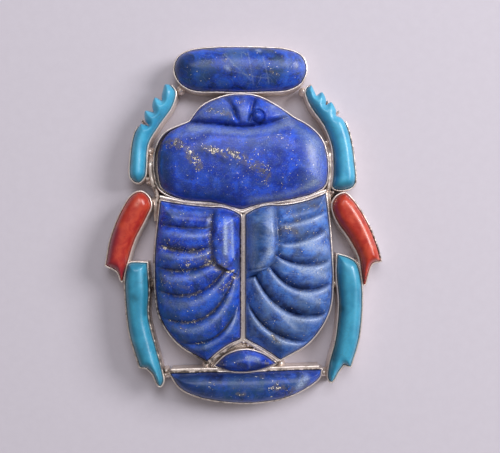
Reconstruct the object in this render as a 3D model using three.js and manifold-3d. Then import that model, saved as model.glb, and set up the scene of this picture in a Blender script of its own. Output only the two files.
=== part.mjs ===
// Scarab pendant: carved lapis, turquoise and coral stones set in one soldered silver openwork mount.
// Millimetres, +Z up. It lies on its flat silver back at z = 0, with its head towards +Y.
import * as THREE from 'three';
import Module from 'manifold-3d';
import { mergeVertices } from 'three/addons/utils/BufferGeometryUtils.js';

// Plan size, over the stones
const stonesLength = 63.8; // top edge of the bar to the lowest point of the crescent
const stonesWidth = 49.3; // outer corner of one middle leg to the other

// Silver
const backThickness = 0.6;
const rimHeight = 4.5; // top of the setting walls over the surface it lies on
const wallThickness = 0.42;
const stoneClearance = 0.1; // all round a stone, inside its wall
const thoraxSlack = 0.5; // the thorax stone leaves this much more room to its wall on the left
const serrationRimHeight = 3.1; // the wall is filed down behind the toothed edges
const webHeight = 3.7; // solid silver between the wing cases and the tail stone
const solderRadius = 0.85;
const solderHeight = 3.4;

// Stones: a vertical edge up to the girdle, then a dome
const girdleDrop = 0.35; // girdle under the rim of the wall
const barCrown = 3.2; // the crowns are the domes' heights over the girdle
const thoraxCrown = 4.4;
const headCrown = 3.2;
const wingCrown = 3.7;
const tailCrown = 2.6;
const crescentCrown = 2.4;
const turquoiseCrown = 2.2;
const coralCrown = 2.4;
const barRound = 3.9; // how far in from the edge a dome goes on rising
const bodyRound = 6.5;
const tailRound = 2.0;
const crescentRound = 2.7;
const legRound = 1.75;

// Carving
const neckDepth = 1.5; // valley between head and thorax
const neckWidth = 1.1;
const browDepth = 0.9; // the two cuts that part the head
const browWidth = 0.9;
const fluteDepth = 0.85;
const fluteFade = 2.2; // the flutes run out over this distance from a wing's edge
const shoulderGroove = 0.7; // cut round the shoulder block at the root of each wing
const shoulderRise = 0.45;
const leftToothHeights = [1.5, 1.35, 0.75];
const rightToothHeights = [1.05, 1.15, 0.1];

// Fineness of the facets
const turnStep = THREE.MathUtils.degToRad(20);
const longStep = 2.4;
const headStep = 1.1;
const sampleStep = 0.1;
const stepsPerFlute = 4;
const fluteSteps = 8;
const shoulderSteps = 4;
const solderSides = 10;

// The outlines are drawn in millimetres on a sheet of this size and stretched to the plan size
const sheetWidth = 49.3;
const sheetLength = 63.8;
const stretchX = stonesWidth / sheetWidth;
const stretchY = stonesLength / sheetLength;
const onPlan = ([x, y]) => new THREE.Vector3(x * stretchX, y * stretchY, 0);

const girdle = rimHeight - girdleDrop;
const wasm = await Module();
wasm.setup();

// Curves and outlines

// Points along a curve, close where it turns and far apart where it runs straight
function sampleCurve(curve, longest = longStep) {
  const fine = curve.getSpacedPoints(Math.ceil(curve.getLength() / sampleStep));
  const kept = [fine[0]];
  let turned = 0;
  for (let i = 1; i < fine.length - 1; i += 1) {
    const arriving = fine[i].clone().sub(fine[i - 1]);
    turned += arriving.angleTo(fine[i + 1].clone().sub(fine[i]));
    if (turned > turnStep || fine[i].distanceTo(kept.at(-1)) > longest) {
      kept.push(fine[i]);
      turned = 0;
    }
  }
  return kept;
}

const curveThrough = (points, closed = false) =>
  new THREE.CatmullRomCurve3(points.map(onPlan), closed, 'centripetal');

// A closed outline of smooth runs: each run starts where the one before it ended, with a corner there
function cornered(runs, longest = []) {
  return runs.flatMap((run, i) => {
    const start = runs.at(i - 1).at(-1);
    return sampleCurve(curveThrough([start, ...run]), longest[i]);
  });
}

// Saw teeth along a leg's outer edge, from notch to notch: a swelling side, then a crest over the next notch
function teeth(notches, heights, outward) {
  return notches.slice(0, -1).map((notch, i) => {
    const along = [notches[i + 1][0] - notch[0], notches[i + 1][1] - notch[1]];
    const pitch = Math.hypot(...along);
    const across = [along[1] * outward / pitch, -along[0] * outward / pitch];
    const height = heights[i];
    const at = (share, rise) => notch.map((start, axis) => start + along[axis] * share + across[axis] * rise);
    return [at(0.25, height * 0.6), at(0.6, height * 0.95), at(0.9, height), at(1, 0)];
  });
}

function distanceToPath(point, path, closed = true) {
  const segment = new THREE.Line3();
  const nearest = new THREE.Vector3();
  let best = Infinity;
  for (let i = closed ? 0 : 1; i < path.length; i += 1) {
    segment.set(path.at(i - 1), path[i]);
    segment.closestPointToPoint(point, true, nearest);
    best = Math.min(best, Math.hypot(point.x - nearest.x, point.y - nearest.y));
  }
  return best;
}

const counterClockwise = (loop) => (THREE.ShapeUtils.area(loop) > 0 ? loop : [...loop].reverse());

// A loop moved outwards, with mitred corners, or square ones at a sharp tip.
// Points that a tight notch throws back inside are dropped.
function grown(loop, distance) {
  const bluntest = 0.6;
  const moved = loop.flatMap((point, i) => {
    const arriving = point.clone().sub(loop.at(i - 1)).normalize();
    const leaving = loop[(i + 1) % loop.length].clone().sub(point).normalize();
    const before = new THREE.Vector3(arriving.y, -arriving.x, 0);
    const after = new THREE.Vector3(leaving.y, -leaving.x, 0);
    const square = 1 + before.dot(after);
    if (square < bluntest && arriving.cross(leaving).z > 0) {
      const past = point.clone().addScaledVector(before, distance);
      const ahead = point.clone().addScaledVector(after, distance);
      const forward = new THREE.Vector3(-before.y, before.x, 0);
      const back = new THREE.Vector3(after.y, -after.x, 0);
      return [past.addScaledVector(forward, distance), ahead.addScaledVector(back, distance)];
    }
    return [point.clone().addScaledVector(before.add(after), distance / Math.max(square, bluntest))];
  });
  return moved.filter((point) => distanceToPath(point, loop) > distance * 0.97);
}

// Domes

// Rises steeply from the edge and levels off: 0 at the edge, 1 from the end of the rounding inwards
function pillow(share) {
  const left = 1 - Math.min(Math.max(share, 0), 1);
  return Math.sqrt(1 - left ** 2.3);
}

const fold = (offset, width) => Math.exp(-((offset / width) ** 2));

// A closed body between loops that rise ring by ring, capped flat below and by its last ring above
function ringBody(loops) {
  const count = loops[0].length;
  const index = [];
  for (let ring = 0; ring < loops.length - 1; ring += 1) {
    for (let i = 0; i < count; i += 1) {
      const here = ring * count + i;
      const next = ring * count + (i + 1) % count;
      index.push(here, next, next + count, here, next + count, here + count);
    }
  }
  const top = (loops.length - 1) * count;
  const capFaces = (loop) => THREE.ShapeUtils.triangulateShape(loop, []);
  capFaces(loops[0]).forEach(([a, b, c]) => index.push(a, c, b));
  capFaces(loops.at(-1)).forEach(([a, b, c]) => index.push(top + a, top + b, top + c));
  return indexedGeometry(loops.flat(), index);
}

function indexedGeometry(points, index) {
  const geometry = new THREE.BufferGeometry().setFromPoints(points);
  geometry.setIndex(index);
  return geometry;
}

// A stone whose rings close in from its outline on the line along its middle
function ringStone({ outline, middle, shares, heightAt }) {
  const spine = middle.map(onPlan);
  const nearestOnSpine = (point) => {
    const segment = new THREE.Line3();
    const choices = spine.slice(1).map((end, i) => {
      segment.set(spine[i], end);
      return segment.closestPointToPoint(point, true, new THREE.Vector3());
    });
    return choices.sort((one, other) => one.distanceTo(point) - other.distanceTo(point))[0];
  };
  const anchors = outline.map(nearestOnSpine);
  const atHeight = (height) => outline.map((point) => point.clone().setZ(height));
  const rings = shares.map((share) => outline.map((point, i) => {
    const inner = point.clone().lerp(anchors[i], share);
    return inner.setZ(heightAt(inner, distanceToPath(inner, outline)));
  }));
  return { outline, geometry: ringBody([atHeight(backThickness), atHeight(girdle), ...rings]) };
}

const domed = (crown, round) => (point, inset) => girdle + crown * pillow(inset / round);

// Top bar
function barStone() {
  const outline = sampleCurve(curveThrough([
    [-12.3, 28.1], [-11.5, 30.2], [-9.4, 31.3], [-5.5, 31.8], [-1.1, 31.9], [4, 31.8], [8.2, 31.4],
    [10.5, 30.3], [11.3, 28.1], [10.5, 25.8], [8.4, 24.5], [4, 24.1], [-4, 24.1], [-9.2, 24.4],
    [-11.5, 25.9],
  ], true));
  return ringStone({
    outline: counterClockwise(outline),
    middle: [[-8.4, 27.9], [7.4, 27.9]],
    shares: [0.12, 0.3, 0.6, 0.9],
    heightAt: domed(barCrown, barRound),
  });
}

// Head and thorax, one stone
function headAndThoraxStone() {
  const outline = counterClockwise(cornered([
    [[2.6, 3.7], [7.6, 4.5], [12.6, 5.8], [14.7, 7.2], [15.2, 10.6], [14.3, 14.9], [12.2, 17.4], [9, 19.3]],
    [[6.1, 21.3], [2.4, 23.1], [-0.6, 23.4], [-3.2, 23.1], [-7.2, 21.4], [-9.5, 18.6]],
    [[-13.6, 16.4], [-15.2, 13.2], [-15.3, 9.2], [-14.5, 6.6], [-11.3, 4.8], [-5, 4.05], [-0.2, 2.9]],
  ], [longStep, headStep, longStep]));
  const neckPoints = [[-13, 19.4], [-9.3, 18.5], [-4.8, 18], [0, 17.5], [4.2, 18], [8, 19.3], [12, 20.6]];
  const slackFromTo = [10, 14.5];
  const brows = [
    [[-3.4, 22.9], [-2.1, 21.3], [-0.7, 18.6]],
    [[2.1, 23], [1.4, 21.2], [0.9, 18.6]],
  ].map((brow) => curveThrough(brow).getPoints(8));
  const neckLine = curveThrough(neckPoints).getPoints(24);
  const heightAt = (point, inset) => {
    const past = neckLine.findIndex((step) => step.x > point.x);
    const onHead = point.y > neckLine[Math.max(past, 0)].y;
    const toNeck = distanceToPath(point, neckLine, false);
    const crown = onHead ? headCrown : headCrown + (thoraxCrown - headCrown) * pillow(toNeck / bodyRound);
    const cuts = brows.map((brow) => browDepth * fold(distanceToPath(point, brow, false), browWidth));
    const carved = neckDepth * fold(toNeck, neckWidth) + (onHead ? Math.max(...cuts) : 0);
    return girdle + Math.max(crown - carved, 0) * pillow(inset / (onHead ? barRound : bodyRound));
  };
  const stone = ringStone({
    outline,
    middle: [[-8.6, 10.8], [8.6, 10.8]],
    shares: [0.07, 0.15, 0.25, 0.36, 0.45, 0.53, 0.62, 0.75, 0.92],
    heightAt,
  });
  const slackAt = (point) => thoraxSlack * THREE.MathUtils.smoothstep(-point.x, ...slackFromTo);
  const cell = outline.map((point) => point.clone().setX(point.x - slackAt(point)));
  return { ...stone, cell };
}

// Wing cases: a fan of flutes between eight lines, each an arc from the wing's outer edge to its root line,
// and inside the root line the shoulder block, up to the straight inner edge
function wingStone({ outer, bends, roots, innerTop, innerBottom, topBulge }) {
  const outerEdge = curveThrough(outer);
  const bendLine = curveThrough(bends);
  const rootLine = curveThrough(roots);
  const inner = new THREE.LineCurve3(onPlan(innerTop), onPlan(innerBottom));
  const flutes = outer.length - 1;
  const rootStart = rootLine.getPoint(0).y;
  const rootEnd = rootLine.getPoint(1).y;
  const fluteRows = flutes * stepsPerFlute;

  const planPoint = (row, column) => {
    const share = row / fluteRows;
    const root = rootLine.getPoint(share);
    if (column <= fluteSteps) {
      const arc = new THREE.QuadraticBezierCurve3(outerEdge.getPoint(share), bendLine.getPoint(share), root);
      return arc.getPoint(column / fluteSteps);
    }
    const edge = inner.getPoint((root.y - rootStart) / (rootEnd - rootStart));
    const across = (column - fluteSteps) / shoulderSteps;
    const bulge = topBulge * Math.max(0, 1 - row / stepsPerFlute) * 4 * across * (1 - across);
    return root.lerp(edge, across).add(new THREE.Vector3(0, bulge, 0));
  };

  const columns = fluteSteps + shoulderSteps;
  const grid = [];
  for (let row = 0; row <= fluteRows; row += 1) {
    grid.push(Array.from({ length: columns + 1 }, (_, column) => planPoint(row, column)));
  }
  const edgeRows = grid.slice(1, -1);
  const border = [
    ...grid[0],
    ...edgeRows.map((row) => row.at(-1)),
    ...grid.at(-1).toReversed(),
    ...edgeRows.map((row) => row[0]).toReversed(),
  ];

  const flutePhase = (row) => {
    const fromCrest = Math.abs((row / stepsPerFlute) % 1 - 0.5) * 2;
    return row === 0 || row === fluteRows ? 0 : 1 - Math.sqrt(1 - fromCrest ** 2);
  };
  const shoulderAt = (row, column) => {
    const present = THREE.MathUtils.clamp(4.2 - row / stepsPerFlute, 0, 1);
    const across = (column - fluteSteps) / shoulderSteps;
    return present * (across === 0 ? -shoulderGroove : shoulderRise * Math.sin(Math.PI * across));
  };
  const heightAt = (row, column) => {
    const inset = distanceToPath(grid[row][column], border);
    const dome = wingCrown * pillow(inset / bodyRound);
    const fade = Math.min(1, inset / fluteFade);
    const carving = column < fluteSteps ? -fluteDepth * flutePhase(row) : shoulderAt(row, column);
    return girdle + Math.max(dome + carving * fade, 0);
  };

  const raised = (row, column) => grid[row][column].clone().setZ(heightAt(row, column));
  const points = grid.flatMap((line, row) => line.map((_, column) => raised(row, column)));
  const faces = [];
  for (let row = 0; row < fluteRows; row += 1) {
    for (let column = 0; column < columns; column += 1) {
      const here = row * (columns + 1) + column;
      const below = here + columns + 1;
      faces.push([here, below, below + 1], [here, below + 1, here + 1]);
    }
  }
  const gridIndex = new Map(grid.flat().map((point, i) => [point, i]));
  const rim = border.map((point) => gridIndex.get(point));
  const base = points.length;
  border.forEach((point) => points.push(point.clone().setZ(backThickness)));
  border.forEach((point, i) => {
    const next = (i + 1) % border.length;
    faces.push([rim[i], rim[next], base + next], [rim[i], base + next, base + i]);
  });
  const clockwise = THREE.ShapeUtils.area(border) < 0;
  const index = faces.flatMap(([a, b, c]) => (clockwise ? [a, b, c] : [a, c, b]));
  const underside = THREE.ShapeUtils.triangulateShape(border, []);
  underside.forEach(([a, b, c]) => index.push(base + a, base + c, base + b));
  return { outline: counterClockwise(border), geometry: indexedGeometry(points, index) };
}

const leftWing = {
  outer: [[-14.8, 4.3], [-15.25, 0.2], [-15.65, -3.4], [-15.8, -7.4], [-15.7, -11.4], [-14.9, -16.4],
    [-11.8, -21.1], [-6.5, -24.5]],
  bends: [[-10, 3.4], [-9.5, -0.9], [-10.3, -5.6], [-9.9, -9.2], [-8.3, -14.9], [-5.4, -20.2],
    [-3.8, -22.3], [-3.7, -21.6]],
  roots: [[-5.4, 3.1], [-5.6, -0.4], [-5.6, -3.8], [-5.2, -6.5], [-3.1, -7.9], [-1.5, -8.8],
    [-0.95, -14.4], [-0.95, -20.7]],
  innerTop: [-0.5, 1.7],
  innerBottom: [-0.5, -20.35],
  topBulge: 0.5,
};
const rightWing = {
  outer: [[14.8, 5.6], [15.2, 2.6], [15.5, -0.4], [15.9, -6.1], [16.05, -10.1], [15.35, -15.7],
    [11.9, -21], [6.7, -24.2]],
  bends: [[10.5, 3.5], [9.7, 0.3], [10.1, -3.6], [10.6, -8.2], [9.2, -13.9], [6.3, -17.9],
    [4.05, -20.6], [4, -22.1]],
  roots: [[5.8, 3.45], [6.1, 0.2], [6.3, -3.2], [5.9, -5.4], [4.8, -7.4], [2.3, -9],
    [0.95, -14], [0.95, -20.7]],
  innerTop: [0.5, 1.8],
  innerBottom: [0.5, -20.35],
  topBulge: 0.55,
};

// Tail stone and crescent
function tailStone() {
  return ringStone({
    outline: counterClockwise(cornered([
      [[-2.9, -23.5], [0.4, -22.6], [3.7, -23.4], [5.8, -24.9]],
      [[3.4, -25.6], [0.5, -25.95], [-2.4, -25.75], [-4.9, -25.2]],
    ])),
    middle: [[-2.6, -24.6], [3.4, -24.4]],
    shares: [0.2, 0.5, 0.9],
    heightAt: domed(tailCrown, tailRound),
  });
}

function crescentStone() {
  return ringStone({
    outline: counterClockwise(cornered([
      [[-6, -26.6], [0.5, -26.6], [7, -26.3], [14, -26.1]],
      [[13.6, -27.5], [8.7, -30.6], [3.6, -31.75], [-1.2, -31.9], [-7.4, -31], [-11.2, -29.3], [-13, -26.8]],
    ])),
    middle: [[-9.4, -28], [-4, -29.1], [3, -29.1], [10.6, -27.7]],
    shares: [0.15, 0.4, 0.7, 0.92],
    heightAt: domed(crescentCrown, crescentRound),
  });
}

// Legs
const legStone = (crown, outline, middle) => ringStone({
  outline: counterClockwise(outline),
  middle,
  shares: [0.2, 0.5, 0.9],
  heightAt: domed(crown, legRound),
});

const leftNotches = [[-17, 17.9], [-16.1, 20.3], [-14.6, 22.4], [-13.2, 25.3]];
const rightNotches = [[16.8, 19.7], [14.9, 21.6], [13.2, 23.3], [12.2, 25.2]];

function leftFrontLeg() {
  const outline = cornered([
    [[-12.3, 24], [-12.8, 21.6], [-15.3, 17.9], [-17.2, 14.6], [-17.6, 10.3], [-17.8, 8.8], [-18.9, 7.7],
      [-20.1, 8.5], [-20.2, 11.7], [-19.5, 16.2], [-18.4, 18.3]],
    [leftNotches[0]],
    ...teeth(leftNotches, leftToothHeights, -1),
  ]);
  const middle = [[-18.9, 9.5], [-18.7, 13], [-17.6, 16.4], [-15.4, 19.8], [-13.6, 22.8]];
  return legStone(turquoiseCrown, outline, middle);
}

function rightFrontLeg() {
  const outline = cornered([
    ...teeth(rightNotches, rightToothHeights, 1),
    [[11.4, 24.2], [12.2, 21.6], [14.8, 17.8], [16.2, 13.9], [16.4, 9], [16.3, 6.8], [18, 6.4], [19.9, 7.2],
      [19.9, 11.5], [19, 16.6], [17.9, 19.1], rightNotches[0]],
  ]);
  const middle = [[18.1, 8.4], [18, 12.5], [17.2, 15.6], [15.2, 19.2], [13, 22.4]];
  return legStone(turquoiseCrown, outline, middle);
}

function leftMiddleLeg() {
  const outline = cornered([
    [[-22.6, -8.3], [-21.8, -10.1]],
    [[-20.9, -6.6], [-19.6, -2.6], [-17.5, 1.5], [-16.7, 3.6], [-17.3, 5.2], [-18.6, 5.9], [-20, 5.2],
      [-21.7, 2.6], [-23.6, -2.1], [-24.6, -7.2]],
  ]);
  return legStone(coralCrown, outline, [[-18.5, 3.9], [-20.4, 0.2], [-21.8, -3.6], [-22.4, -6]]);
}

function rightMiddleLeg() {
  const outline = cornered([
    [[21.4, -8.3], [21, -5.8], [19.3, -2.5], [16.9, 1], [16.2, 3.6], [17, 5.1], [18.3, 5.6], [19.6, 4.5],
      [22, 0.9], [23.9, -3.5], [24.7, -6.4]],
    [[23.2, -6.9], [21.8, -10.9]],
  ]);
  return legStone(coralCrown, outline, [[18, 3.6], [20.2, 0], [21.9, -3.4], [22.6, -5.6]]);
}

function leftHindLeg() {
  const outline = cornered([
    [[-20.2, -6.9], [-17.4, -6.9]],
    [[-17.1, -11.5], [-17.2, -16.5], [-15.9, -22], [-14.6, -26.6], [-15, -29]],
    [[-16.1, -26.7], [-17.2, -25.6], [-18.5, -25.5]],
    [[-20.3, -19.6], [-21, -13.6], [-21.1, -9.2], [-20.7, -7.2]],
  ]);
  return legStone(turquoiseCrown, outline, [[-19.1, -8.8], [-19.1, -14.5], [-18.4, -20], [-16.9, -24.3]]);
}

function rightHindLeg() {
  const outline = cornered([
    [[17, -9], [17.4, -14.2], [16.8, -20.6], [15.6, -25.4], [15.8, -28.2]],
    [[17, -26.4], [18.1, -24.9], [19.3, -25.4]],
    [[20.7, -20.6], [21.3, -14.6], [21.1, -9.6], [20.3, -6.9], [19, -6], [17.1, -5.4]],
  ]);
  return legStone(turquoiseCrown, outline, [[19.1, -8], [19.3, -14], [18.6, -20.2], [17.3, -24]]);
}

// Silver setting: walls and backs of every cell in one piece

function toSolid(geometry) {
  const bare = geometry.clone();
  bare.deleteAttribute('normal');
  bare.deleteAttribute('uv');
  const merged = mergeVertices(bare, 1e-4);
  return new wasm.Manifold(new wasm.Mesh({
    numProp: 3,
    vertProperties: merged.attributes.position.array,
    triVerts: Uint32Array.from(merged.index.array),
  }));
}

function prism(loop, bottom, top) {
  const shape = new THREE.Shape(loop.map((point) => new THREE.Vector2(point.x, point.y)));
  const geometry = new THREE.ExtrudeGeometry(shape, { depth: top - bottom, bevelEnabled: false });
  geometry.translate(0, 0, bottom);
  return toSolid(geometry);
}

function solderJoint(place) {
  const geometry = new THREE.CylinderGeometry(solderRadius, solderRadius, solderHeight, solderSides);
  geometry.rotateX(Math.PI / 2);
  const { x, y } = onPlan(place);
  geometry.translate(x, y, solderHeight / 2);
  return toSolid(geometry);
}

const solderPlaces = [
  [-11.4, 24.6], [11, 24.3], [-16.9, 13.4], [-17, 8], [-16, 4.4], [15.8, 9.9], [15.7, 5.6],
  [-20.6, -7.3], [20.9, -7], [-16.4, -10.6], [16.7, -10.6], [-13.8, -27.1], [14.7, -26.8],
  [-6.6, -25.4], [6.8, -25.2],
];

// The wire between the thorax and the wing cases
function waistWire() {
  const path = sampleCurve(curveThrough([[-15, 5.1], [-10, 4.1], [-4, 3.6], [-0.1, 2.3]]))
    .concat(sampleCurve(curveThrough([[-0.1, 2.3], [4, 3.9], [10, 4.5], [15, 6.2]])));
  const raised = path.map((point) => point.clone().add(new THREE.Vector3(0, wallThickness / 2, 0)));
  const lowered = path.map((point) => point.clone().sub(new THREE.Vector3(0, wallThickness / 2, 0)));
  return prism([...lowered, ...raised.toReversed()], 0, rimHeight);
}

// Outer edge of a toothed leg, from just inside its notches to well outside
function serrationZone(notches, outward) {
  const reach = 3;
  const inside = notches.map(([x, y]) => [x - outward * wallThickness, y]);
  const outside = notches.map(([x, y]) => [x + outward * reach, y + reach]);
  return [...inside, ...outside.toReversed()].map(onPlan);
}

function silverSetting(outlines) {
  const tall = rimHeight * 2;
  const web = [[-1.1, -20.9], [-7.2, -25.4], [-4.9, -26], [5.6, -25.7], [7.4, -25.2], [1.1, -20.9]];
  const joined = [
    ...outlines.map((outline) => prism(grown(outline, stoneClearance + wallThickness), 0, rimHeight)),
    prism(web.map(onPlan), 0, webHeight),
    waistWire(),
    ...solderPlaces.map(solderJoint),
  ].reduce((whole, piece) => whole.add(piece));
  const cut = [
    ...outlines.map((outline) => prism(grown(outline, stoneClearance), backThickness, tall)),
    prism(serrationZone(leftNotches, -1), serrationRimHeight, tall),
    prism(serrationZone(rightNotches, 1), serrationRimHeight, tall),
  ].reduce((whole, piece) => whole.subtract(piece), joined);
  const { vertProperties, triVerts } = cut.getMesh();
  const geometry = new THREE.BufferGeometry();
  geometry.setAttribute('position', new THREE.BufferAttribute(vertProperties, 3));
  geometry.setIndex(new THREE.BufferAttribute(triVerts, 1));
  return geometry;
}

// The pieces and their finishes

const lapis = { color: 0x1f3fa8, roughness: 0.3, metalness: 0 };
const turquoise = { color: 0x2f9cc4, roughness: 0.35, metalness: 0 };
const coral = { color: 0xc2361c, roughness: 0.3, metalness: 0 };
const silver = { color: 0xc9c0b8, roughness: 0.35, metalness: 1 };

function addPiece(group, name, geometry, finish) {
  const material = new THREE.MeshStandardMaterial({ ...finish, flatShading: true });
  const mesh = new THREE.Mesh(geometry, material);
  mesh.name = name;
  group.add(mesh);
  return mesh;
}

const stones = {
  top_bar_lapis: [barStone(), lapis],
  head_and_thorax_lapis: [headAndThoraxStone(), lapis],
  left_wing_case_lapis: [wingStone(leftWing), lapis],
  right_wing_case_lapis: [wingStone(rightWing), lapis],
  tail_lapis: [tailStone(), lapis],
  lower_crescent_lapis: [crescentStone(), lapis],
  left_front_leg_turquoise: [leftFrontLeg(), turquoise],
  right_front_leg_turquoise: [rightFrontLeg(), turquoise],
  left_middle_leg_coral: [leftMiddleLeg(), coral],
  right_middle_leg_coral: [rightMiddleLeg(), coral],
  left_hind_leg_turquoise: [leftHindLeg(), turquoise],
  right_hind_leg_turquoise: [rightHindLeg(), turquoise],
};

const pendant = new THREE.Group();
const setting = silverSetting(Object.values(stones).map(([stone]) => stone.cell ?? stone.outline));
addPiece(pendant, 'silver_setting', setting, silver);
Object.entries(stones).forEach(([name, [stone, finish]]) => addPiece(pendant, name, stone.geometry, finish));

// The origin is under the middle of the whole
const middle = new THREE.Box3().setFromObject(pendant).getCenter(new THREE.Vector3());
pendant.position.set(-middle.x, -middle.y, 0);

export default pendant;
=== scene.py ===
import math
import bmesh
import bpy
import numpy as np
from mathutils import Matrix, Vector, noise
from mathutils.geometry import delaunay_2d_cdt


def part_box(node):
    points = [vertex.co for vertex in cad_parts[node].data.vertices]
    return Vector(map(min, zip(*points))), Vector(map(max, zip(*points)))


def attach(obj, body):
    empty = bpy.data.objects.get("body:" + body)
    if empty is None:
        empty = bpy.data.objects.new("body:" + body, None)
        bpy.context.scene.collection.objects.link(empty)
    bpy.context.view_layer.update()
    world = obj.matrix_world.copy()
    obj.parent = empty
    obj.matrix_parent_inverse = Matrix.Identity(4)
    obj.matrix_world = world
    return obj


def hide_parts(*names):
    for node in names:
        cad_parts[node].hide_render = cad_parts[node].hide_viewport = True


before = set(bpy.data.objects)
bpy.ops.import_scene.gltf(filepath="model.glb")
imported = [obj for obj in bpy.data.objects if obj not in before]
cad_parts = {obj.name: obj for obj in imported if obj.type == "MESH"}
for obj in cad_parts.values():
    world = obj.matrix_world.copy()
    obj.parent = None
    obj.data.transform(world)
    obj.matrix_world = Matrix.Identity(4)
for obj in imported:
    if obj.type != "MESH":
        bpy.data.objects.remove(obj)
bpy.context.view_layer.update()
print("frame loaded")

mm = 0.001

# Sizes in millimetres that several pieces share
body = {
    "backThickness": 0.6,
    "rimHeight": 4.5,         # top of the silver walls
    "girdle": 4.15,           # where a stone's dome starts
    "handUneven": 0.07,       # how far hand cutting leaves a dome under its true form
    "spacing": 0.2,           # between the points of a stone's surface
    "rowShare": 0.866,        # from row to row, as a share of the spacing
    "edgeRings": [0.04, 0.1, 0.2, 0.36, 0.55],
    "domePower": 2.3,         # more: flatter on top and steeper at the edge
    "sharpOver": 70,          # degrees between faces that meet in a sharp edge
}


# Curves, outlines and distances on the plan

def curveAt(points, shares, closed=False):
    knots = np.asarray(points, float)
    if closed:
        ring = np.vstack([knots[-1:], knots, knots[:2]])
        spans = len(knots)
    else:
        ring = np.vstack([2 * knots[0] - knots[1], knots, 2 * knots[-1] - knots[-2]])
        spans = len(knots) - 1
    place = np.atleast_1d(shares) * spans
    span = np.minimum(place.astype(int), spans - 1)
    t = (place - span)[:, None]
    a, b, c, d = (ring[span + i] for i in range(4))
    stepOf = lambda start, end: np.maximum(np.linalg.norm(end - start, axis=1), 1e-9)[:, None] ** 0.5
    ab, bc, cd = stepOf(a, b), stepOf(b, c), stepOf(c, d)
    leaving = ((b - a) / ab - (c - a) / (ab + bc) + (c - b) / bc) * bc
    arriving = ((c - b) / bc - (d - b) / (bc + cd) + (d - c) / cd) * bc
    return (b + leaving * t + (3 * (c - b) - 2 * leaving - arriving) * t ** 2
            + (2 * (b - c) + leaving + arriving) * t ** 3)


def evenly(line, spacing):
    reach = np.concatenate([[0], np.cumsum(np.linalg.norm(np.diff(line, axis=0), axis=1))])
    count = max(2, round(reach[-1] / spacing))
    at = np.linspace(0, reach[-1], count + 1)
    return np.column_stack([np.interp(at, reach, line[:, axis]) for axis in (0, 1)])


def smoothLine(points, spacing, closed=False):
    shares = np.linspace(0, 1, 40 * len(points) + 1)
    return evenly(curveAt(points, shares, closed), spacing)


def cornered(runs, spacing):   # each run starts where the run before it ended, with a corner there
    parts = [smoothLine([runs[i - 1][-1], *run], spacing)[:-1] for i, run in enumerate(runs)]
    return counterClockwise(np.vstack(parts))


def areaOf(loop):
    following = np.roll(loop, -1, axis=0)
    return 0.5 * np.sum(loop[:, 0] * following[:, 1] - following[:, 0] * loop[:, 1])


def counterClockwise(loop):
    return loop if areaOf(loop) > 0 else loop[::-1]


def distanceTo(path, points, closed=True):
    path = np.asarray(path, float)
    start = path if closed else path[:-1]
    end = np.roll(path, -1, axis=0) if closed else path[1:]
    along = end - start
    squares = np.maximum((along ** 2).sum(1), 1e-12)
    nearest = []
    for chunk in np.array_split(points, len(points) // 1500 + 1):
        offset = chunk[:, None, :] - start[None]
        share = np.clip((offset * along).sum(2) / squares, 0, 1)
        nearest.append(np.sqrt(((offset - share[..., None] * along) ** 2).sum(2)).min(1))
    return np.concatenate(nearest)


def isInside(loop, points):
    inside = np.zeros(len(points), bool)
    for (x1, y1), (x2, y2) in zip(loop, np.roll(loop, -1, axis=0)):
        if y1 != y2:
            crosses = (y1 > points[:, 1]) != (y2 > points[:, 1])
            inside ^= crosses & (points[:, 0] < (x2 - x1) * (points[:, 1] - y1) / (y2 - y1) + x1)
    return inside


def outwards(loop):   # at each point of a loop, one millimetre out of it
    before = loop - np.roll(loop, 1, axis=0)
    after = np.roll(loop, -1, axis=0) - loop
    before /= np.linalg.norm(before, axis=1)[:, None]
    after /= np.linalg.norm(after, axis=1)[:, None]
    square = np.maximum(1 + (before * after).sum(1), 0.6)
    return np.column_stack([before[:, 1] + after[:, 1], -before[:, 0] - after[:, 0]]) / square[:, None]


def moved(loop, distance):   # a loop grown outwards, or shrunk where the distance is negative
    away = loop + outwards(loop) * distance
    return away[distanceTo(loop, away) > abs(distance) * 0.97]


def pillow(share):
    return np.sqrt(1 - (1 - np.clip(share, 0, 1)) ** body["domePower"])


def fold(offset, width):
    return np.exp(-((offset / width) ** 2))


def unevenAt(points, size, seed):
    return np.array([0.5 + 0.5 * noise.noise(Vector((x / size, y / size, seed))) for x, y in points])


def marked(points, marks):   # each mark: x and y of the points on its course, its width and its strength
    total = np.zeros(len(points))
    for *course, width, strength in marks:
        away = distanceTo(np.reshape(course, (-1, 2)), points, closed=False)
        total += strength * fold(away, width)
    return np.clip(total, 0, 1)


# Meshes

barOutline = counterClockwise(smoothLine([
    [-12.3, 28.1], [-11.5, 30.2], [-9.4, 31.3], [-5.5, 31.8], [-1.1, 31.9], [4, 31.8], [8.2, 31.4],
    [10.5, 30.3], [11.3, 28.1], [10.5, 25.8], [8.4, 24.5], [4, 24.1], [-4, 24.1], [-9.2, 24.4],
    [-11.5, 25.9]], body["spacing"], closed=True)[:-1])
barLow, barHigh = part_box("top_bar_lapis")
drawnMiddle = (barOutline.min(0) + barOutline.max(0)) / 2
shift = np.array([(barLow.x + barHigh.x) / 2, (barLow.y + barHigh.y) / 2]) / mm - drawnMiddle


def placed(points, heights):
    flat = np.asarray(points, float) + shift
    return np.column_stack([flat, np.broadcast_to(heights, len(flat))]) * mm


def addObject(name, mesh, material):
    mesh.materials.clear()
    mesh.materials.append(material)
    made = bpy.data.objects.new(name, mesh)
    bpy.context.scene.collection.objects.link(made)
    return made


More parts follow.
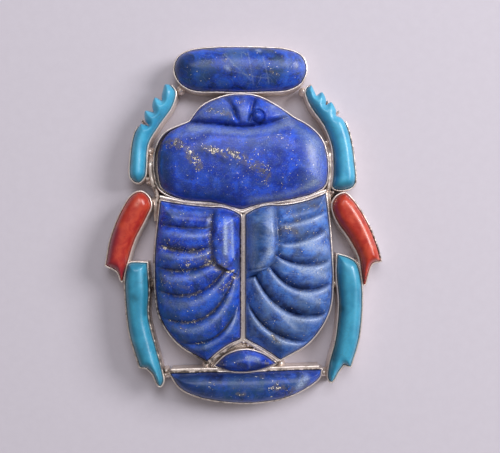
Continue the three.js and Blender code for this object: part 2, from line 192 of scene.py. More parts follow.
def finishStone(name, node, verts, faces, paint, material):
    mesh = bpy.data.meshes.new(name)
    mesh.from_pydata(verts.tolist(), [], faces)
    mesh.update()
    mesh.shade_smooth()
    mesh.set_sharp_from_angle(angle=math.radians(body["sharpOver"]))
    for key, values in paint.items():
        attribute = mesh.attributes.new(key, "FLOAT", "POINT")
        attribute.data.foreach_set("value", values.astype(np.float32))
    stone = addObject(name, mesh, material)
    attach(stone, "root")
    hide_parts(node)
    print("stone", name, len(mesh.polygons), "faces")


def cutStone(name, node, outline, heightAt, marks, material, undercut=0.0):
    rings = [outline] + [moved(outline, -inset) for inset in body["edgeRings"]]
    spacing = body["spacing"]
    low = outline.min(0)
    high = outline.max(0)
    field = []
    for i, y in enumerate(np.arange(low[1], high[1], spacing * body["rowShare"])):
        across = np.arange(low[0] + (i % 2) * spacing / 2, high[0], spacing)
        field.append(np.column_stack([across, np.full(len(across), y)]))
    field = np.vstack(field)
    field = field[isInside(outline, field)]
    field = field[distanceTo(outline, field) > body["edgeRings"][-1] + spacing * 0.6]
    flat = np.vstack(rings + [field])
    count = len(outline)
    result = delaunay_2d_cdt([Vector(point) for point in flat], [], [list(range(count))], 1, 1e-7)
    points = np.array([[v.x, v.y] for v in result[0]])
    order = {original: i for i, originals in enumerate(result[3]) for original in originals}
    rim = [order[i] for i in range(count)]
    tops = [list(face) if areaOf(points[list(face)]) > 0 else list(face)[::-1] for face in result[2]]
    inset = distanceTo(outline, points)
    inset[rim] = 0
    sag = body["handUneven"] * unevenAt(points, 4.5, 3.7) * pillow(inset / 2)
    heights = np.maximum(heightAt(points, inset) - sag, body["girdle"])
    heights[rim] = body["girdle"]
    foot = outline - outwards(outline) * np.reshape(undercut, (-1, 1))
    verts = np.vstack([placed(points, heights), placed(foot, body["backThickness"])])
    base = len(points)
    sides = [[rim[i], base + i, base + (i + 1) % count, rim[(i + 1) % count]] for i in range(count)]
    under = [[base + i for i in reversed(range(count))]]
    paint = {}
    # Paint for each point: pale spots of the stone together with painted highlights, flecks, dark patches
    # of the stone together with painted shade, and muted patches
    for key in ("paleAndHighlight", "fleck", "darkAndShade", "muted"):
        values = marked(points, marks.get(key, []))
        paint[key] = np.concatenate([values, np.zeros(count)])
    finishStone(name, node, verts, tops + sides + under, paint, material)


def domed(crown, rounding):   # rounding: how far in from the edge a dome is at its full height
    return lambda points, inset: body["girdle"] + crown * pillow(inset / rounding)


# Material building

def addNode(tree, kind, inputs=None, **settings):
    made = tree.nodes.new(kind)
    for key, value in settings.items():
        setattr(made, key, value)
    for key, value in (inputs or {}).items():
        if isinstance(value, bpy.types.NodeSocket):
            tree.links.new(value, made.inputs[key])
        else:
            made.inputs[key].default_value = value
    return made


def outOf(tree, kind, inputs=None, **settings):   # a new node's first output
    return addNode(tree, kind, inputs, **settings).outputs[0]


def calc(tree, operation, first, second=0.0):
    return outOf(tree, "ShaderNodeMath", {0: first, 1: second}, operation=operation)


def times(tree, first, second):
    return calc(tree, "MULTIPLY", first, second)


def mixed(tree, share, under, over):   # under and over: outputs of nodes, or red, green and blue
    colours = [(*colour, 1) if isinstance(colour, tuple) else colour for colour in (under, over)]
    made = addNode(tree, "ShaderNodeMix", {0: share, 6: colours[0], 7: colours[1]}, data_type="RGBA")
    return made.outputs[2]


def ranged(tree, value, low, high, least=0.0, most=1.0):
    return outOf(tree, "ShaderNodeMapRange", {0: value, 1: low, 2: high, 3: least, 4: most},
                 interpolation_type="SMOOTHSTEP")


def noiseOf(tree, place, scale, detail=4.0, roughness=0.55, distortion=0.0):
    return outOf(tree, "ShaderNodeTexNoise", {"Vector": place, "Scale": scale, "Detail": detail,
                                              "Roughness": roughness, "Distortion": distortion})


def patches(tree, place, grain, *limits):   # grain: the noise's scale, detail, roughness and distortion
    return ranged(tree, noiseOf(tree, place, *grain), *limits)


def thinned(tree, share, place, grain, *limits):   # a share that is less outside the patches
    return times(tree, share, patches(tree, place, grain, *limits))


def newMaterial(name):
    material = bpy.data.materials.new(name)
    material.use_nodes = True
    tree = material.node_tree
    tree.nodes.clear()
    coordinates = addNode(tree, "ShaderNodeTexCoord").outputs["Object"]
    inMillimetres = outOf(tree, "ShaderNodeMapping", {"Vector": coordinates, "Scale": (1000, 1000, 1000)})
    return material, tree, inMillimetres


def finishMaterial(tree, inputs, bumps):   # each bump: its height, its strength and its reach
    normal = None
    for height, strength, reach in bumps:
        step = {"Height": height, "Strength": strength, "Distance": reach * mm}
        if normal:
            step["Normal"] = normal
        normal = outOf(tree, "ShaderNodeBump", step)
    shader = outOf(tree, "ShaderNodeBsdfPrincipled", {**inputs, "Normal": normal})
    addNode(tree, "ShaderNodeOutputMaterial", {"Surface": shader})


def attributeOf(tree, name):
    return addNode(tree, "ShaderNodeAttribute", attribute_name=name).outputs["Fac"]


def flecksAt(tree, place, scale, size, density):
    cells = addNode(tree, "ShaderNodeTexVoronoi", {"Vector": place, "Scale": scale})
    chance = outOf(tree, "ShaderNodeSeparateColor", {0: cells.outputs["Color"]})
    chosen = calc(tree, "GREATER_THAN", calc(tree, "ADD", chance, density), 1.0)
    near = ranged(tree, cells.outputs["Distance"], size, size * 0.7)
    return times(tree, near, chosen)


def lapisMaterial(name, changes):
    look = {**lapisBlue, **changes}
    material, tree, place = newMaterial(name)
    place = outOf(tree, "ShaderNodeMapping", {"Vector": place, "Location": look["offset"]})
    tones = addNode(tree, "ShaderNodeValToRGB", {0: noiseOf(tree, place, 0.42, 6, 0.66, 0.6)})
    ramp = tones.color_ramp.elements
    ramp.new(0.5)
    for i, (tone, position) in enumerate([("navy", look["darkest"]), ("royal", 0.5), ("light", 0.6)]):
        ramp[i].position = position
        ramp[i].color = (*look[tone], 1)
    grain = noiseOf(tree, place, 3.1, 5, 0.7)
    speckle = ranged(tree, grain, 0.42, 0.68, 0.0, look["grain"])
    colour = mixed(tree, speckle, tones.outputs[0], look["grey"])
    inky = patches(tree, place, (1.5, 5, 0.7, 0.4), 0.48, 0.32, 0.0, look["inky"])
    colour = mixed(tree, inky, colour, look["navy"])
    dust = patches(tree, place, (5.5, 3, 0.7), 0.55, 0.75, 0.0, look["dust"])
    dust = thinned(tree, dust, place, (0.55, 4, 0.6), 0.38, 0.62, 0.25)
    colour = mixed(tree, dust, colour, look["pale"])
    muted = thinned(tree, attributeOf(tree, "muted"), place, (0.8, 5, 0.65), 0.3, 0.6, 0.4)
    colour = mixed(tree, muted, colour, look["muted"])
    cloudy = patches(tree, place, (0.3, 5, 0.6), 0.42, 0.68, 0.0, look["cloudy"])
    colour = mixed(tree, cloudy, colour, look["grey"])
    streaks = outOf(tree, "ShaderNodeMapping", {"Vector": place, "Rotation": (0, 0, 0.5),
                                                "Scale": (0.35, 2.2, 1)})
    wisps = patches(tree, streaks, (0.8, 6, 0.7, 0.8), 0.52, 0.72, 0.0, look["wisps"])
    colour = mixed(tree, wisps, colour, look["pale"])
    for scale, width in ((0.22, 0.006), (0.5, 0.012)):
        course = calc(tree, "ABSOLUTE", calc(tree, "SUBTRACT", noiseOf(tree, place, scale, 1.5, 0.4), 0.5))
        vein = ranged(tree, course, width, 0.0, 0.0, look["veins"])
        colour = mixed(tree, thinned(tree, vein, place, [0.6], 0.42, 0.6), colour, look["pale"])
    # Pale spots of the stone, and highlights painted into the colour where the lamp would shine
    paleAndHighlit = thinned(tree, attributeOf(tree, "paleAndHighlight"), place, (3.4, 5, 0.75), 0.36, 0.6, 0.3)
    colour = mixed(tree, paleAndHighlit, colour, look["pale"])
    # Dark patches of the stone, and shade painted into the colour in gaps, creases, grooves and along edges
    # turned from the lamp
    dark = thinned(tree, attributeOf(tree, "darkAndShade"), place, (1.2, 4, 0.6), 0.3, 0.6, 0.55)
    colour = mixed(tree, dark, colour, look["shade"])
    fleck = attributeOf(tree, "fleck")
    density = calc(tree, "ADD", times(tree, fleck, 0.55), look["flecks"])
    clusters = patches(tree, place, (0.5, 3, 0.6), 0.5, 0.68)
    density = times(tree, density, ranged(tree, clusters, 0, 1, 0.35))
    needed = calc(tree, "SUBTRACT", 0.695, times(tree, density, 0.37))
    blotches = calc(tree, "SUBTRACT", noiseOf(tree, place, 1.7, 5, 0.7, 0.8), needed)
    brownish = thinned(tree, ranged(tree, fleck, 0.2, 0.9), place, (0.9, 5, 0.7), 0.42, 0.54, 0.0, 0.7)
    colour = mixed(tree, brownish, colour, look["brownish"])
    colour = mixed(tree, ranged(tree, blotches, -0.055, -0.01, 0.0, 0.85), colour, look["matrix"])
    fine = flecksAt(tree, place, 4.6, 0.4, times(tree, density, 0.6))
    pyrite = calc(tree, "MAXIMUM", ranged(tree, blotches, 0.0, 0.02), fine)
    pyrite = thinned(tree, pyrite, place, (3.8, 2, 0.5), 0.44, 0.5, 0.1)
    finishMaterial(tree, {
        "Base Color": mixed(tree, pyrite, colour, look["pyrite"]),
        "Metallic": times(tree, pyrite, 0.35),
        "Roughness": calc(tree, "ADD", look["roughness"], times(tree, grain, 0.12)),
        "Specular IOR Level": 0.3,
        "Coat Weight": look["coat"],
        "Coat Roughness": 0.1,
    }, [(noiseOf(tree, place, 0.9, 3, 0.5), 0.25, 0.12), (grain, 0.2, 0.02), (pyrite, 0.5, 0.03)])
    return material


def turquoiseMaterial(name, look):
    material, tree, place = newMaterial(name)
    cloud = patches(tree, place, (0.35, 5, 0.6, 0.4), 0.35, 0.65)
    colour = mixed(tree, cloud, look["blue"], look["light"])
    mottle = patches(tree, place, (2.4, 5, 0.7), 0.45, 0.7, 0.0, 0.3)
    colour = mixed(tree, mottle, colour, look["green"])
    # Dark patches, and shade painted into the colour
    colour = mixed(tree, attributeOf(tree, "darkAndShade"), colour, look["darkAndShade"])
    # Pale patches, and highlights painted into the colour
    colour = mixed(tree, times(tree, attributeOf(tree, "paleAndHighlight"), 0.8), colour, look["pale"])
    toEdge = outOf(tree, "ShaderNodeTexVoronoi", {"Vector": place, "Scale": 0.55},
                   feature="DISTANCE_TO_EDGE")
    lines = ranged(tree, toEdge, 0.025, 0.0, 0.0, 0.45)
    lines = thinned(tree, lines, place, (0.45, 3), 0.52, 0.62)
    finishMaterial(tree, {
        "Base Color": mixed(tree, lines, colour, look["lines"]),
        "Roughness": calc(tree, "ADD", look["roughness"], times(tree, mottle, 0.4)),
        "Coat Weight": look["coat"],
        "Coat Roughness": 0.15,
    }, [(noiseOf(tree, place, 1.1, 3), 0.25, 0.1), (mottle, 0.15, 0.02)])
    return material


def coralMaterial(name, look):
    material, tree, place = newMaterial(name)
    cloud = patches(tree, place, (0.5, 5, 0.6, 0.5), 0.35, 0.65)
    colour = mixed(tree, cloud, look["red"], look["orange"])
    # Dark patches, and shade painted into the colour
    colour = mixed(tree, attributeOf(tree, "darkAndShade"), colour, look["darkAndShade"])
    # Pale patches, and highlights painted into the colour
    colour = mixed(tree, times(tree, attributeOf(tree, "paleAndHighlight"), 0.7), colour, look["pale"])
    pores = flecksAt(tree, place, 2.6, 0.3, 0.12)
    finishMaterial(tree, {
        "Base Color": mixed(tree, times(tree, pores, 0.5), colour, look["pores"]),
        "Roughness": calc(tree, "ADD", look["roughness"], times(tree, cloud, 0.1)),
        "Coat Weight": look["coat"],
        "Coat Roughness": 0.12,
    }, [(noiseOf(tree, place, 1.0, 3), 0.3, 0.12), (pores, 0.2, 0.03)])
    return material


def silverMaterial(name, look):
    material, tree, place = newMaterial(name)
    height = addNode(tree, "ShaderNodeSeparateXYZ", {0: place}).outputs["Z"]
    drift = times(tree, noiseOf(tree, place, 0.35, 4, 0.6), 2.2)
    low = ranged(tree, calc(tree, "ADD", height, drift), look["tarnishTop"] + 1.3, look["tarnishTop"])
    blotchy = patches(tree, place, (0.8, 6, 0.7), 0.48, 0.68, 0.0, look["patches"])
    dull = calc(tree, "MAXIMUM", times(tree, low, look["tarnish"]), blotchy)
    # marked tarnish, and shade painted on walls that face away from the lamp
    marks = thinned(tree, attributeOf(tree, "tarnishAndShade"), place, (1.3, 4), 0.3, 0.6, 0.4)
    dull = calc(tree, "MAXIMUM", dull, marks)
    grain = noiseOf(tree, place, 5.0, 4, 0.6)
    colour = mixed(tree, dull, mixed(tree, grain, look["bright"], look["warm"]), look["brown"])
    sooty = calc(tree, "ADD", dull, noiseOf(tree, place, 2.4, 4, 0.7))
    soot = ranged(tree, sooty, 0.95, 1.25, 0.0, look["soot"])
    finishMaterial(tree, {
        "Base Color": mixed(tree, soot, colour, look["black"]),
        "Metallic": calc(tree, "SUBTRACT", look["metallic"], times(tree, dull, 0.2)),
        "Roughness": calc(tree, "ADD", look["roughness"], times(tree, dull, 0.22)),
    }, [(noiseOf(tree, place, 1.6, 4, 0.6), 0.25, 0.06), (grain, 0.2, 0.02)])
    return material


# Lapis stones

lapisBlue = {
    "offset": (0, 0, 0),
    "navy": (0.005, 0.014, 0.11),
    "royal": (0.013, 0.052, 0.42),
    "light": (0.026, 0.11, 0.66),
    "grey": (0.045, 0.1, 0.26),
    # pale: dust, wisps and veins, and the painted highlights
    "pale": (0.33, 0.42, 0.62),
    # shade: the dark patches of the stone, and the painted shade
    "shade": (0.006, 0.012, 0.06),
    "muted": (0.011, 0.06, 0.17),
    "darkest": 0.38,
    "grain": 0.4,
    "inky": 0.6,
    "dust": 0.75,
    "cloudy": 0.5,
    "wisps": 0.2,
    "veins": 0.12,
    "flecks": 0.05,
    "brownish": (0.12, 0.11, 0.12),     # around the flecks
    "matrix": (0.05, 0.045, 0.055),     # the rim of each fleck
    "pyrite": (0.86, 0.78, 0.64),
    "roughness": 0.26,
    "coat": 0.06,
}

bar = {
    "lapis": {"offset": (3, 1, 0), "grey": (0.04, 0.1, 0.19), "royal": (0.01, 0.055, 0.5), "veins": 0.3,
        "light": (0.02, 0.11, 0.68), "cloudy": 0.6, "wisps": 0.05, "flecks": 0.02, "inky": 0.35},
    "crown": 3.2,
    "round": 3.9,
    # pale calcite spots and veins, and a highlight painted on the right end of the bar
    "paleAndHighlight": [(-2.9, 27.9, -2.4, 27.6, 0.4, 0.9), (2.5, 31.2, 3, 30.9, 0.3, 0.7),
        (-3.4, 30.4, -1.6, 28.4, 1.5, 25.7, 0.1, 0.5), (0.9, 30.6, 1.9, 25, 0.1, 0.5),
        (3.6, 29.8, 4, 28, 4.6, 25.2, 0.1, 0.5), (-1.5, 27.2, 1.8, 26.3, 4.6, 26, 0.1, 0.4),
        (8.2, 28.9, 9.8, 28.3, 1.5, 0.3), (-2, 29.4, 1, 27.6, 1.6, 0.16)],
    "muted": [(-11, 28.4, -7.4, 27, 2.2, 0.8), (-1.5, 30.6, 3, 30.9, 1, 0.4)],
    "darkAndShade": [(-11.6, 27.6, -9.6, 28.6, 1.6, 0.75), (-7.5, 25.5, -6.5, 26.5, 1.2, 0.3),
        (-5, 26.6, 4, 27.2, 2.2, 0.45)],
    "fleck": [(-8.8, 27.5, -6.5, 26, 1, 0.2), (-4, 29.6, -3, 29, 0.5, 0.6), (5, 27.3, 5.9, 26.7, 0.5, 0.8),
        (7.2, 28.2, 8.6, 28, 0.5, 0.35)],
}
barLapis = lapisMaterial("barLapis", bar["lapis"])
cutStone("topBar", "top_bar_lapis", barOutline, domed(bar["crown"], bar["round"]), bar, barLapis)

thorax = {
    "lapis": {"royal": (0.011, 0.047, 0.48), "light": (0.022, 0.095, 0.76), "navy": (0.008, 0.024, 0.26),
        "cloudy": 0.35, "darkest": 0.35, "inky": 0.35, "wisps": 0.1, "dust": 0.8},
    "thoraxCrown": 4.4,
    "headCrown": 3.2,
    "round": 6.5,
    "headRound": 3.9,
    "neckDepth": 1.7,
    "neckWidth": 1.15,
    "headSide": 0.5,          # the valley rises this steeply to the head
    "browDepth": 0.8,
    "browWidth": 0.4,
    "eyes": [([2.7, 19.3], 0.92, 1.2)],   # middle, radius and rise
    "socket": (1.15, 0.22, 0.4),          # the groove around an eye: place, width and depth for its size
    # pale scratches and dust, and highlights painted on the right of the thorax, along the edge under the
    # neck and on the head
    "paleAndHighlight": [(13.2, 7.6, 13, 14.2, 1.9, 0.5), (1.5, 4.3, 6.5, 5, 9.5, 5.9, 12.8, 7.5, 0.6, 0.6),
        (-9.2, 17.4, -4.6, 16.8, 0, 16.3, 4.4, 16.8, 8.4, 18.2, 0.75, 0.6), (-11.5, 16, -8, 16.6, 1, 0.35),
        (-7, 19.6, -3, 22, 1.3, 0.3), (0.2, 22.4, 0.2, 19, 0.8, 0.25), (5, 20.8, 7.5, 19.4, 1, 0.35),
        (5.2, 21, 6, 21.4, 0.3, 0.5), (9, 17.6, 12.6, 15, 0.9, 0.25),
        (-8.6, 19.2, -6.4, 21.2, -3.6, 22.6, 0.35, 0.25)],
    "muted": [(-13.6, 7.4, -13.8, 12.6, 1.1, 0.6), (10, 17.4, 13.6, 13, 1.4, 0.5),
        (-10, 5.4, -3, 4.6, 0.9, 0.5), (-5, 20.4, -2.6, 19.6, 1.2, 0.5)],
    "fleck": [(-12.6, 14.4, -10.2, 14, -8.4, 11.4, 1, 0.8), (-8.4, 11.6, -7.8, 10.2, 0.9, 0.85),
        (-6.6, 13.4, -3.2, 12.6, 0.6, 0.9), (-2.6, 12.6, 1.2, 11.2, 4, 9.2, 1.1, 1),
        (1.4, 13.6, 3.4, 12.6, 0.6, 0.5), (-13.4, 14.8, -11.4, 14.6, 0.8, 0.9),
        (-6, 20.4, -4.2, 20.6, -2.4, 19.4, 0.7, 0.75), (-0.8, 21.8, -0.2, 21.9, 0.5, 0.8),
        (6.8, 15.2, 9.5, 12, 0.9, 0.25), (-9.6, 11.8, -7.4, 10.2, 0.5, 0.5),
        (-6.6, 13.6, -5.2, 13, 0.5, 0.9), (3.8, 10, 4.4, 7.6, 0.6, 0.85), (6.8, 8.6, 12.5, 7.6, 1.2, 0.2)],
    # dark patches, and shade painted in the gap along the left edge, in the neck valley, in the brow cuts
    # and round the eye
    "darkAndShade": [(-7.5, 13.2, -3.2, 11.4, 0.8, 0.55), (-1, 10.6, 3.8, 9.4, 0.6, 0.4),
        (-13.4, 7.5, -13.8, 12, 0.9, 0.3), (-14.6, 14.2, -15.3, 9.5, -14.7, 6.4, 0.45, 0.9),
        (-1.5, 4.6, 1.5, 4.6, 0.8, 0.35),
        (-9.2, 18.6, -4.7, 18.15, 0, 17.65, 4.3, 18.15, 7.8, 19.3, 0.3, 0.6),
        (-3.2, 22.6, -2, 21.3, -0.9, 18.8, 0.22, 0.6), (2.2, 22.8, 1.65, 21.1, 1.25, 18.8, 0.2, 0.45),
        (1.6, 19.4, 2, 20.3, 2.9, 20.6, 3.7, 20.1, 0.2, 0.55), (1.9, 18.5, 2.8, 18.1, 3.8, 18.7, 0.3, 0.7),
        (6, 7.2, 12.6, 7.6, 0.9, 0.12), (-9, 9, 4, 9, 3.4, 0.14)],
    "neck": [[-13, 19.4], [-9.3, 18.5], [-4.8, 18], [0, 17.5], [4.2, 18], [8, 19.3], [12, 20.6]],
    "brows": [[[-3.3, 23], [-2, 21.3], [-0.9, 18.6]], [[2.2, 23.2], [1.65, 21.1], [1.25, 18.6]]],
}
thoraxOutline = cornered([
    [[2.6, 3.7], [7.6, 4.5], [12.6, 5.8], [14.7, 7.2], [15.2, 10.6], [14.3, 14.9], [12.2, 17.4], [9, 19.3]],
    [[6.1, 21.3], [2.4, 23.1], [-0.6, 23.4], [-3.2, 23.1], [-7.2, 21.4], [-9.5, 18.6]],
    [[-13.6, 16.4], [-15.2, 13.2], [-15.3, 9.2], [-14.5, 6.6], [-11.3, 4.8], [-5, 4.05], [-0.2, 2.9]],
], body["spacing"])


def thoraxHeight(points, inset):
    neckLine = smoothLine(thorax["neck"], body["spacing"])
    toNeck = distanceTo(neckLine, points, closed=False)
    onHead = points[:, 1] > np.interp(points[:, 0], neckLine[:, 0], neckLine[:, 1])
    thoraxRise = thorax["thoraxCrown"] - thorax["headCrown"]
    crown = thorax["headCrown"] + np.where(onHead, 0, thoraxRise * pillow(toNeck / thorax["round"]))
    cuts = [fold(distanceTo(smoothLine(brow, body["spacing"]), points, closed=False), thorax["browWidth"])
            for brow in thorax["brows"]]
    carved = thorax["neckDepth"] * fold(toNeck, np.where(onHead, thorax["headSide"], thorax["neckWidth"]))
    carved += np.where(onHead, thorax["browDepth"] * np.maximum(*cuts), 0)
    socketAt, socketWidth, socketDepth = thorax["socket"]
    for middle, radius, rise in thorax["eyes"]:
        away = np.linalg.norm(points - middle, axis=1) / radius
        ball = np.sqrt(np.clip(1 - away ** 2, 0, 1))
        carved -= rise * (ball - socketDepth * fold(away - socketAt, socketWidth))
    rounding = np.where(onHead, pillow(inset / thorax["headRound"]), pillow(inset / thorax["round"]))
    return body["girdle"] + np.maximum(crown - carved, 0) * rounding


thoraxLapis = lapisMaterial("thoraxLapis", thorax["lapis"])
cutStone("headAndThorax", "head_and_thorax_lapis", thoraxOutline, thoraxHeight, thorax,
         thoraxLapis)

# Wing cases: a fan of flutes from the outer edge to the root line, and the shoulder block inside it

wings = {
    "rowsPerFlute": 28,
    "fanColumns": 96,
    "shoulderColumns": 32,
    "crown": 3.7,
    "round": 6.5,
    "shoulderGroove": 0.6,
    "shoulderRise": 0.5,
    "shoulderEnd": 4.55,      # the flute beside which the shoulder block ends
    "shoulderFade": 1.3,      # and over how many flutes it does
    "blockSides": 1.5,        # more: steeper sides of the block
    "blockCut": 0.5,          # how wide the root groove is on the block's side
    "rootCut": 0.7,           # and on the flutes' side
    "grooveWidth": 0.09,      # this and the next four are shares of a flute's width
    "plainEnd": 0.3,
    "crestWidth": 0.12,
    # where on each flute the band of painted shade starts, and over how much of it that shade grows
    "bandFrom": 0.62,
    "bandOver": 0.22,
    "grooveCut": 0.14,        # how much deeper the grooves are, as a share of the flutes' depth
    # how strongly shade is painted into the grooves and the root groove
    "grooveShade": 0.85,
}
leftWing = {
    "lapis": {"offset": (7, 5, 0), "navy": (0.005, 0.015, 0.15), "royal": (0.008, 0.04, 0.46),
        "light": (0.02, 0.1, 0.72), "cloudy": 0.45, "grain": 0.35, "flecks": 0.07, "wisps": 0.12},
    "outer": [[-14.8, 4.3], [-15.25, 0.2], [-15.65, -3.4], [-15.8, -7.4], [-15.7, -11.4], [-14.9, -16.4],
              [-11.8, -21.1], [-6.5, -24.5]],
    "bends": [[-10, 3.4], [-9.5, -0.9], [-10.3, -5.6], [-9.9, -9.2], [-8.3, -14.9], [-5.4, -20.2],
              [-3.8, -22.3], [-3.7, -21.6]],
    "roots": [[-5.4, 3.1], [-5.6, -0.4], [-5.6, -3.8], [-5.2, -6.5], [-3.1, -7.9], [-1.5, -8.8],
              [-0.95, -14.4], [-0.95, -20.7]],
    "inner": [[-0.5, 1.7], [-0.5, -20.35]],
    "topBulge": 0.5,
    "strength": [(0, 0.8), (2, 1.0)],   # how deep the flutes are, from the first one on
    "crestAt": 0.42,
    "fall": 2.0,              # more: flat behind the crest, then steeply down into the groove
    "fluteDepth": 0.95,
    "fluteFade": 3.4,
    # how strongly shade is painted on the side of each flute that falls towards the next groove, away from
    # the lamp, and how strongly a highlight is painted along each crest
    "bandShade": 0.3,
    "crestHighlight": 0.35,
    "grooveFlecks": 0.7,
    "muted": [(-13, -17, -7, -21, 3.6, 0.7), (-14.8, -6, -14.6, -13, 1, 0.5),
        (-12, -12.5, -4, -14.5, 3.2, 0.4), (-2, -15, -2, -19, 1, 0.4), (-12, -7.5, -8, -8.5, 1, 0.4)],
    # pale patches, and highlights painted on the lit facet of the shoulder block
    "paleAndHighlight": [(-2.6, 0.8, -2.5, -4.9, 0.85, 0.35), (-3.15, 0.7, -3.1, -5, 0.26, 1),
        (-1.95, 0.9, -1.75, -5.7, 0.2, 0.8), (-6.4, -0.6, -5.9, 0.6, 0.35, 0.5),
        (-6.2, -4.4, -5.8, -3.4, 0.35, 0.5), (-1.2, -16.5, -3, -19, 0.25, 0.3)],
    "fleck": [(-6, -6.3, -1.2, -9, 1.2, 0.8), (-14.5, -9.8, -9.5, -11.2, 0.5, 0.55),
        (-13.5, -2.6, -8, -4.2, 0.9, 0.4), (-12.2, -7.2, -8, -6.4, 0.9, 0.45),
        (-13, -17.6, -10, -18.6, 0.5, 0.5), (-14.5, -4, -6.5, -5.5, 0.7, 0.35),
        (-2.5, -10.6, -4.2, -11.6, 0.5, 0.8)],
    "darkAndShade": [(-12.8, -13.6, -9.8, -14, 0.8, 0.55)],
}
rightWing = {
    "lapis": {"offset": (1, 9, 0), "navy": (0.012, 0.035, 0.18), "royal": (0.036, 0.125, 0.52),
        "light": (0.07, 0.215, 0.68), "grey": (0.12, 0.19, 0.34), "flecks": 0.04, "cloudy": 0.6,
        "inky": 0.8, "dust": 0.8, "wisps": 0.35},
    "outer": [[14.8, 5.6], [15.2, 2.6], [15.5, -0.4], [15.9, -6.1], [16.05, -10.1], [15.35, -15.7],
              [11.9, -21], [6.7, -24.2]],
    "bends": [[10.5, 3.5], [9.7, 0.3], [10.1, -3.6], [10.6, -8.2], [9.2, -13.9], [6.3, -17.9],
              [4.05, -20.6], [4, -22.1]],
    "roots": [[5.8, 3.45], [6.1, 0.2], [6.3, -3.2], [5.9, -5.4], [4.8, -7.4], [2.3, -9],
              [0.95, -14], [0.95, -20.7]],
    "inner": [[0.5, 1.8], [0.5, -20.35]],
    "topBulge": 0.55,
    "strength": [(0, 0.45), (2.2, 0.6), (3.4, 1.0)],
    "crestAt": 0.18,
    "fall": 2.4,
    "fluteDepth": 1.25,
    "fluteFade": 2.0,
    # how strongly shade is painted on the side of each flute that falls towards the next groove, away from
    # the lamp, and how strongly a highlight is painted along each crest
    "bandShade": 0.78,
    "crestHighlight": 0.9,
    "grooveFlecks": 0.2,
    "muted": [(2.6, 0.6, 2.6, -7, 2, 0.7), (12, -16, 6, -22, 2.5, 0.45), (8, -12, 11.5, -14.5, 1.5, 0.3)],
    # pale patches, and highlights painted on the lit ridge of the shoulder block and on the lit outer ends
    # of the flutes
    "paleAndHighlight": [(4.9, 2.6, 4.8, -4.8, 0.75, 0.7), (4.8, -4.8, 3, -7.4, 0.55, 0.6),
        (1.6, 0.5, 1.7, -7, 0.7, 0.35), (11.8, -3.8, 14.6, -4.3, 0.9, 0.8), (10.6, -8, 14.6, -9, 0.7, 0.8),
        (10.6, -12.3, 13.2, -13.4, 0.6, 0.6), (7.2, -16.2, 9.2, -18.2, 0.4, 0.7),
        (4.6, -19, 6.4, -20.8, 0.45, 0.8), (5.6, -13.6, 8, -17, 0.3, 0.6),
        (11.4, 0.4, 14.2, 0.9, 0.6, 0.35)],
    "fleck": [(7.2, -0.6, 9.4, -1.4, 0.7, 0.6), (8.2, 2.2, 9.6, 0.9, 0.7, 0.6), (12, 3.6, 14, 3, 0.6, 0.6),
        (5.2, -19.6, 6.2, -20.6, 0.4, 0.9), (6.4, 3, 13.8, 4.2, 1.2, 0.25),
        (7, -0.4, 14.4, -1.6, 1.6, 0.22), (13, -6, 14.6, -9.6, 0.8, 0.35), (2, -12, 4, -18, 0.8, 0.25)],
    "darkAndShade": [(3.2, -1, 3.4, -4.6, 0.8, 0.35), (6.8, -12, 9.2, -15.4, 0.9, 0.3),
        (6.6, 3.4, 14.4, 3.6, 1.3, 0.25)],
}


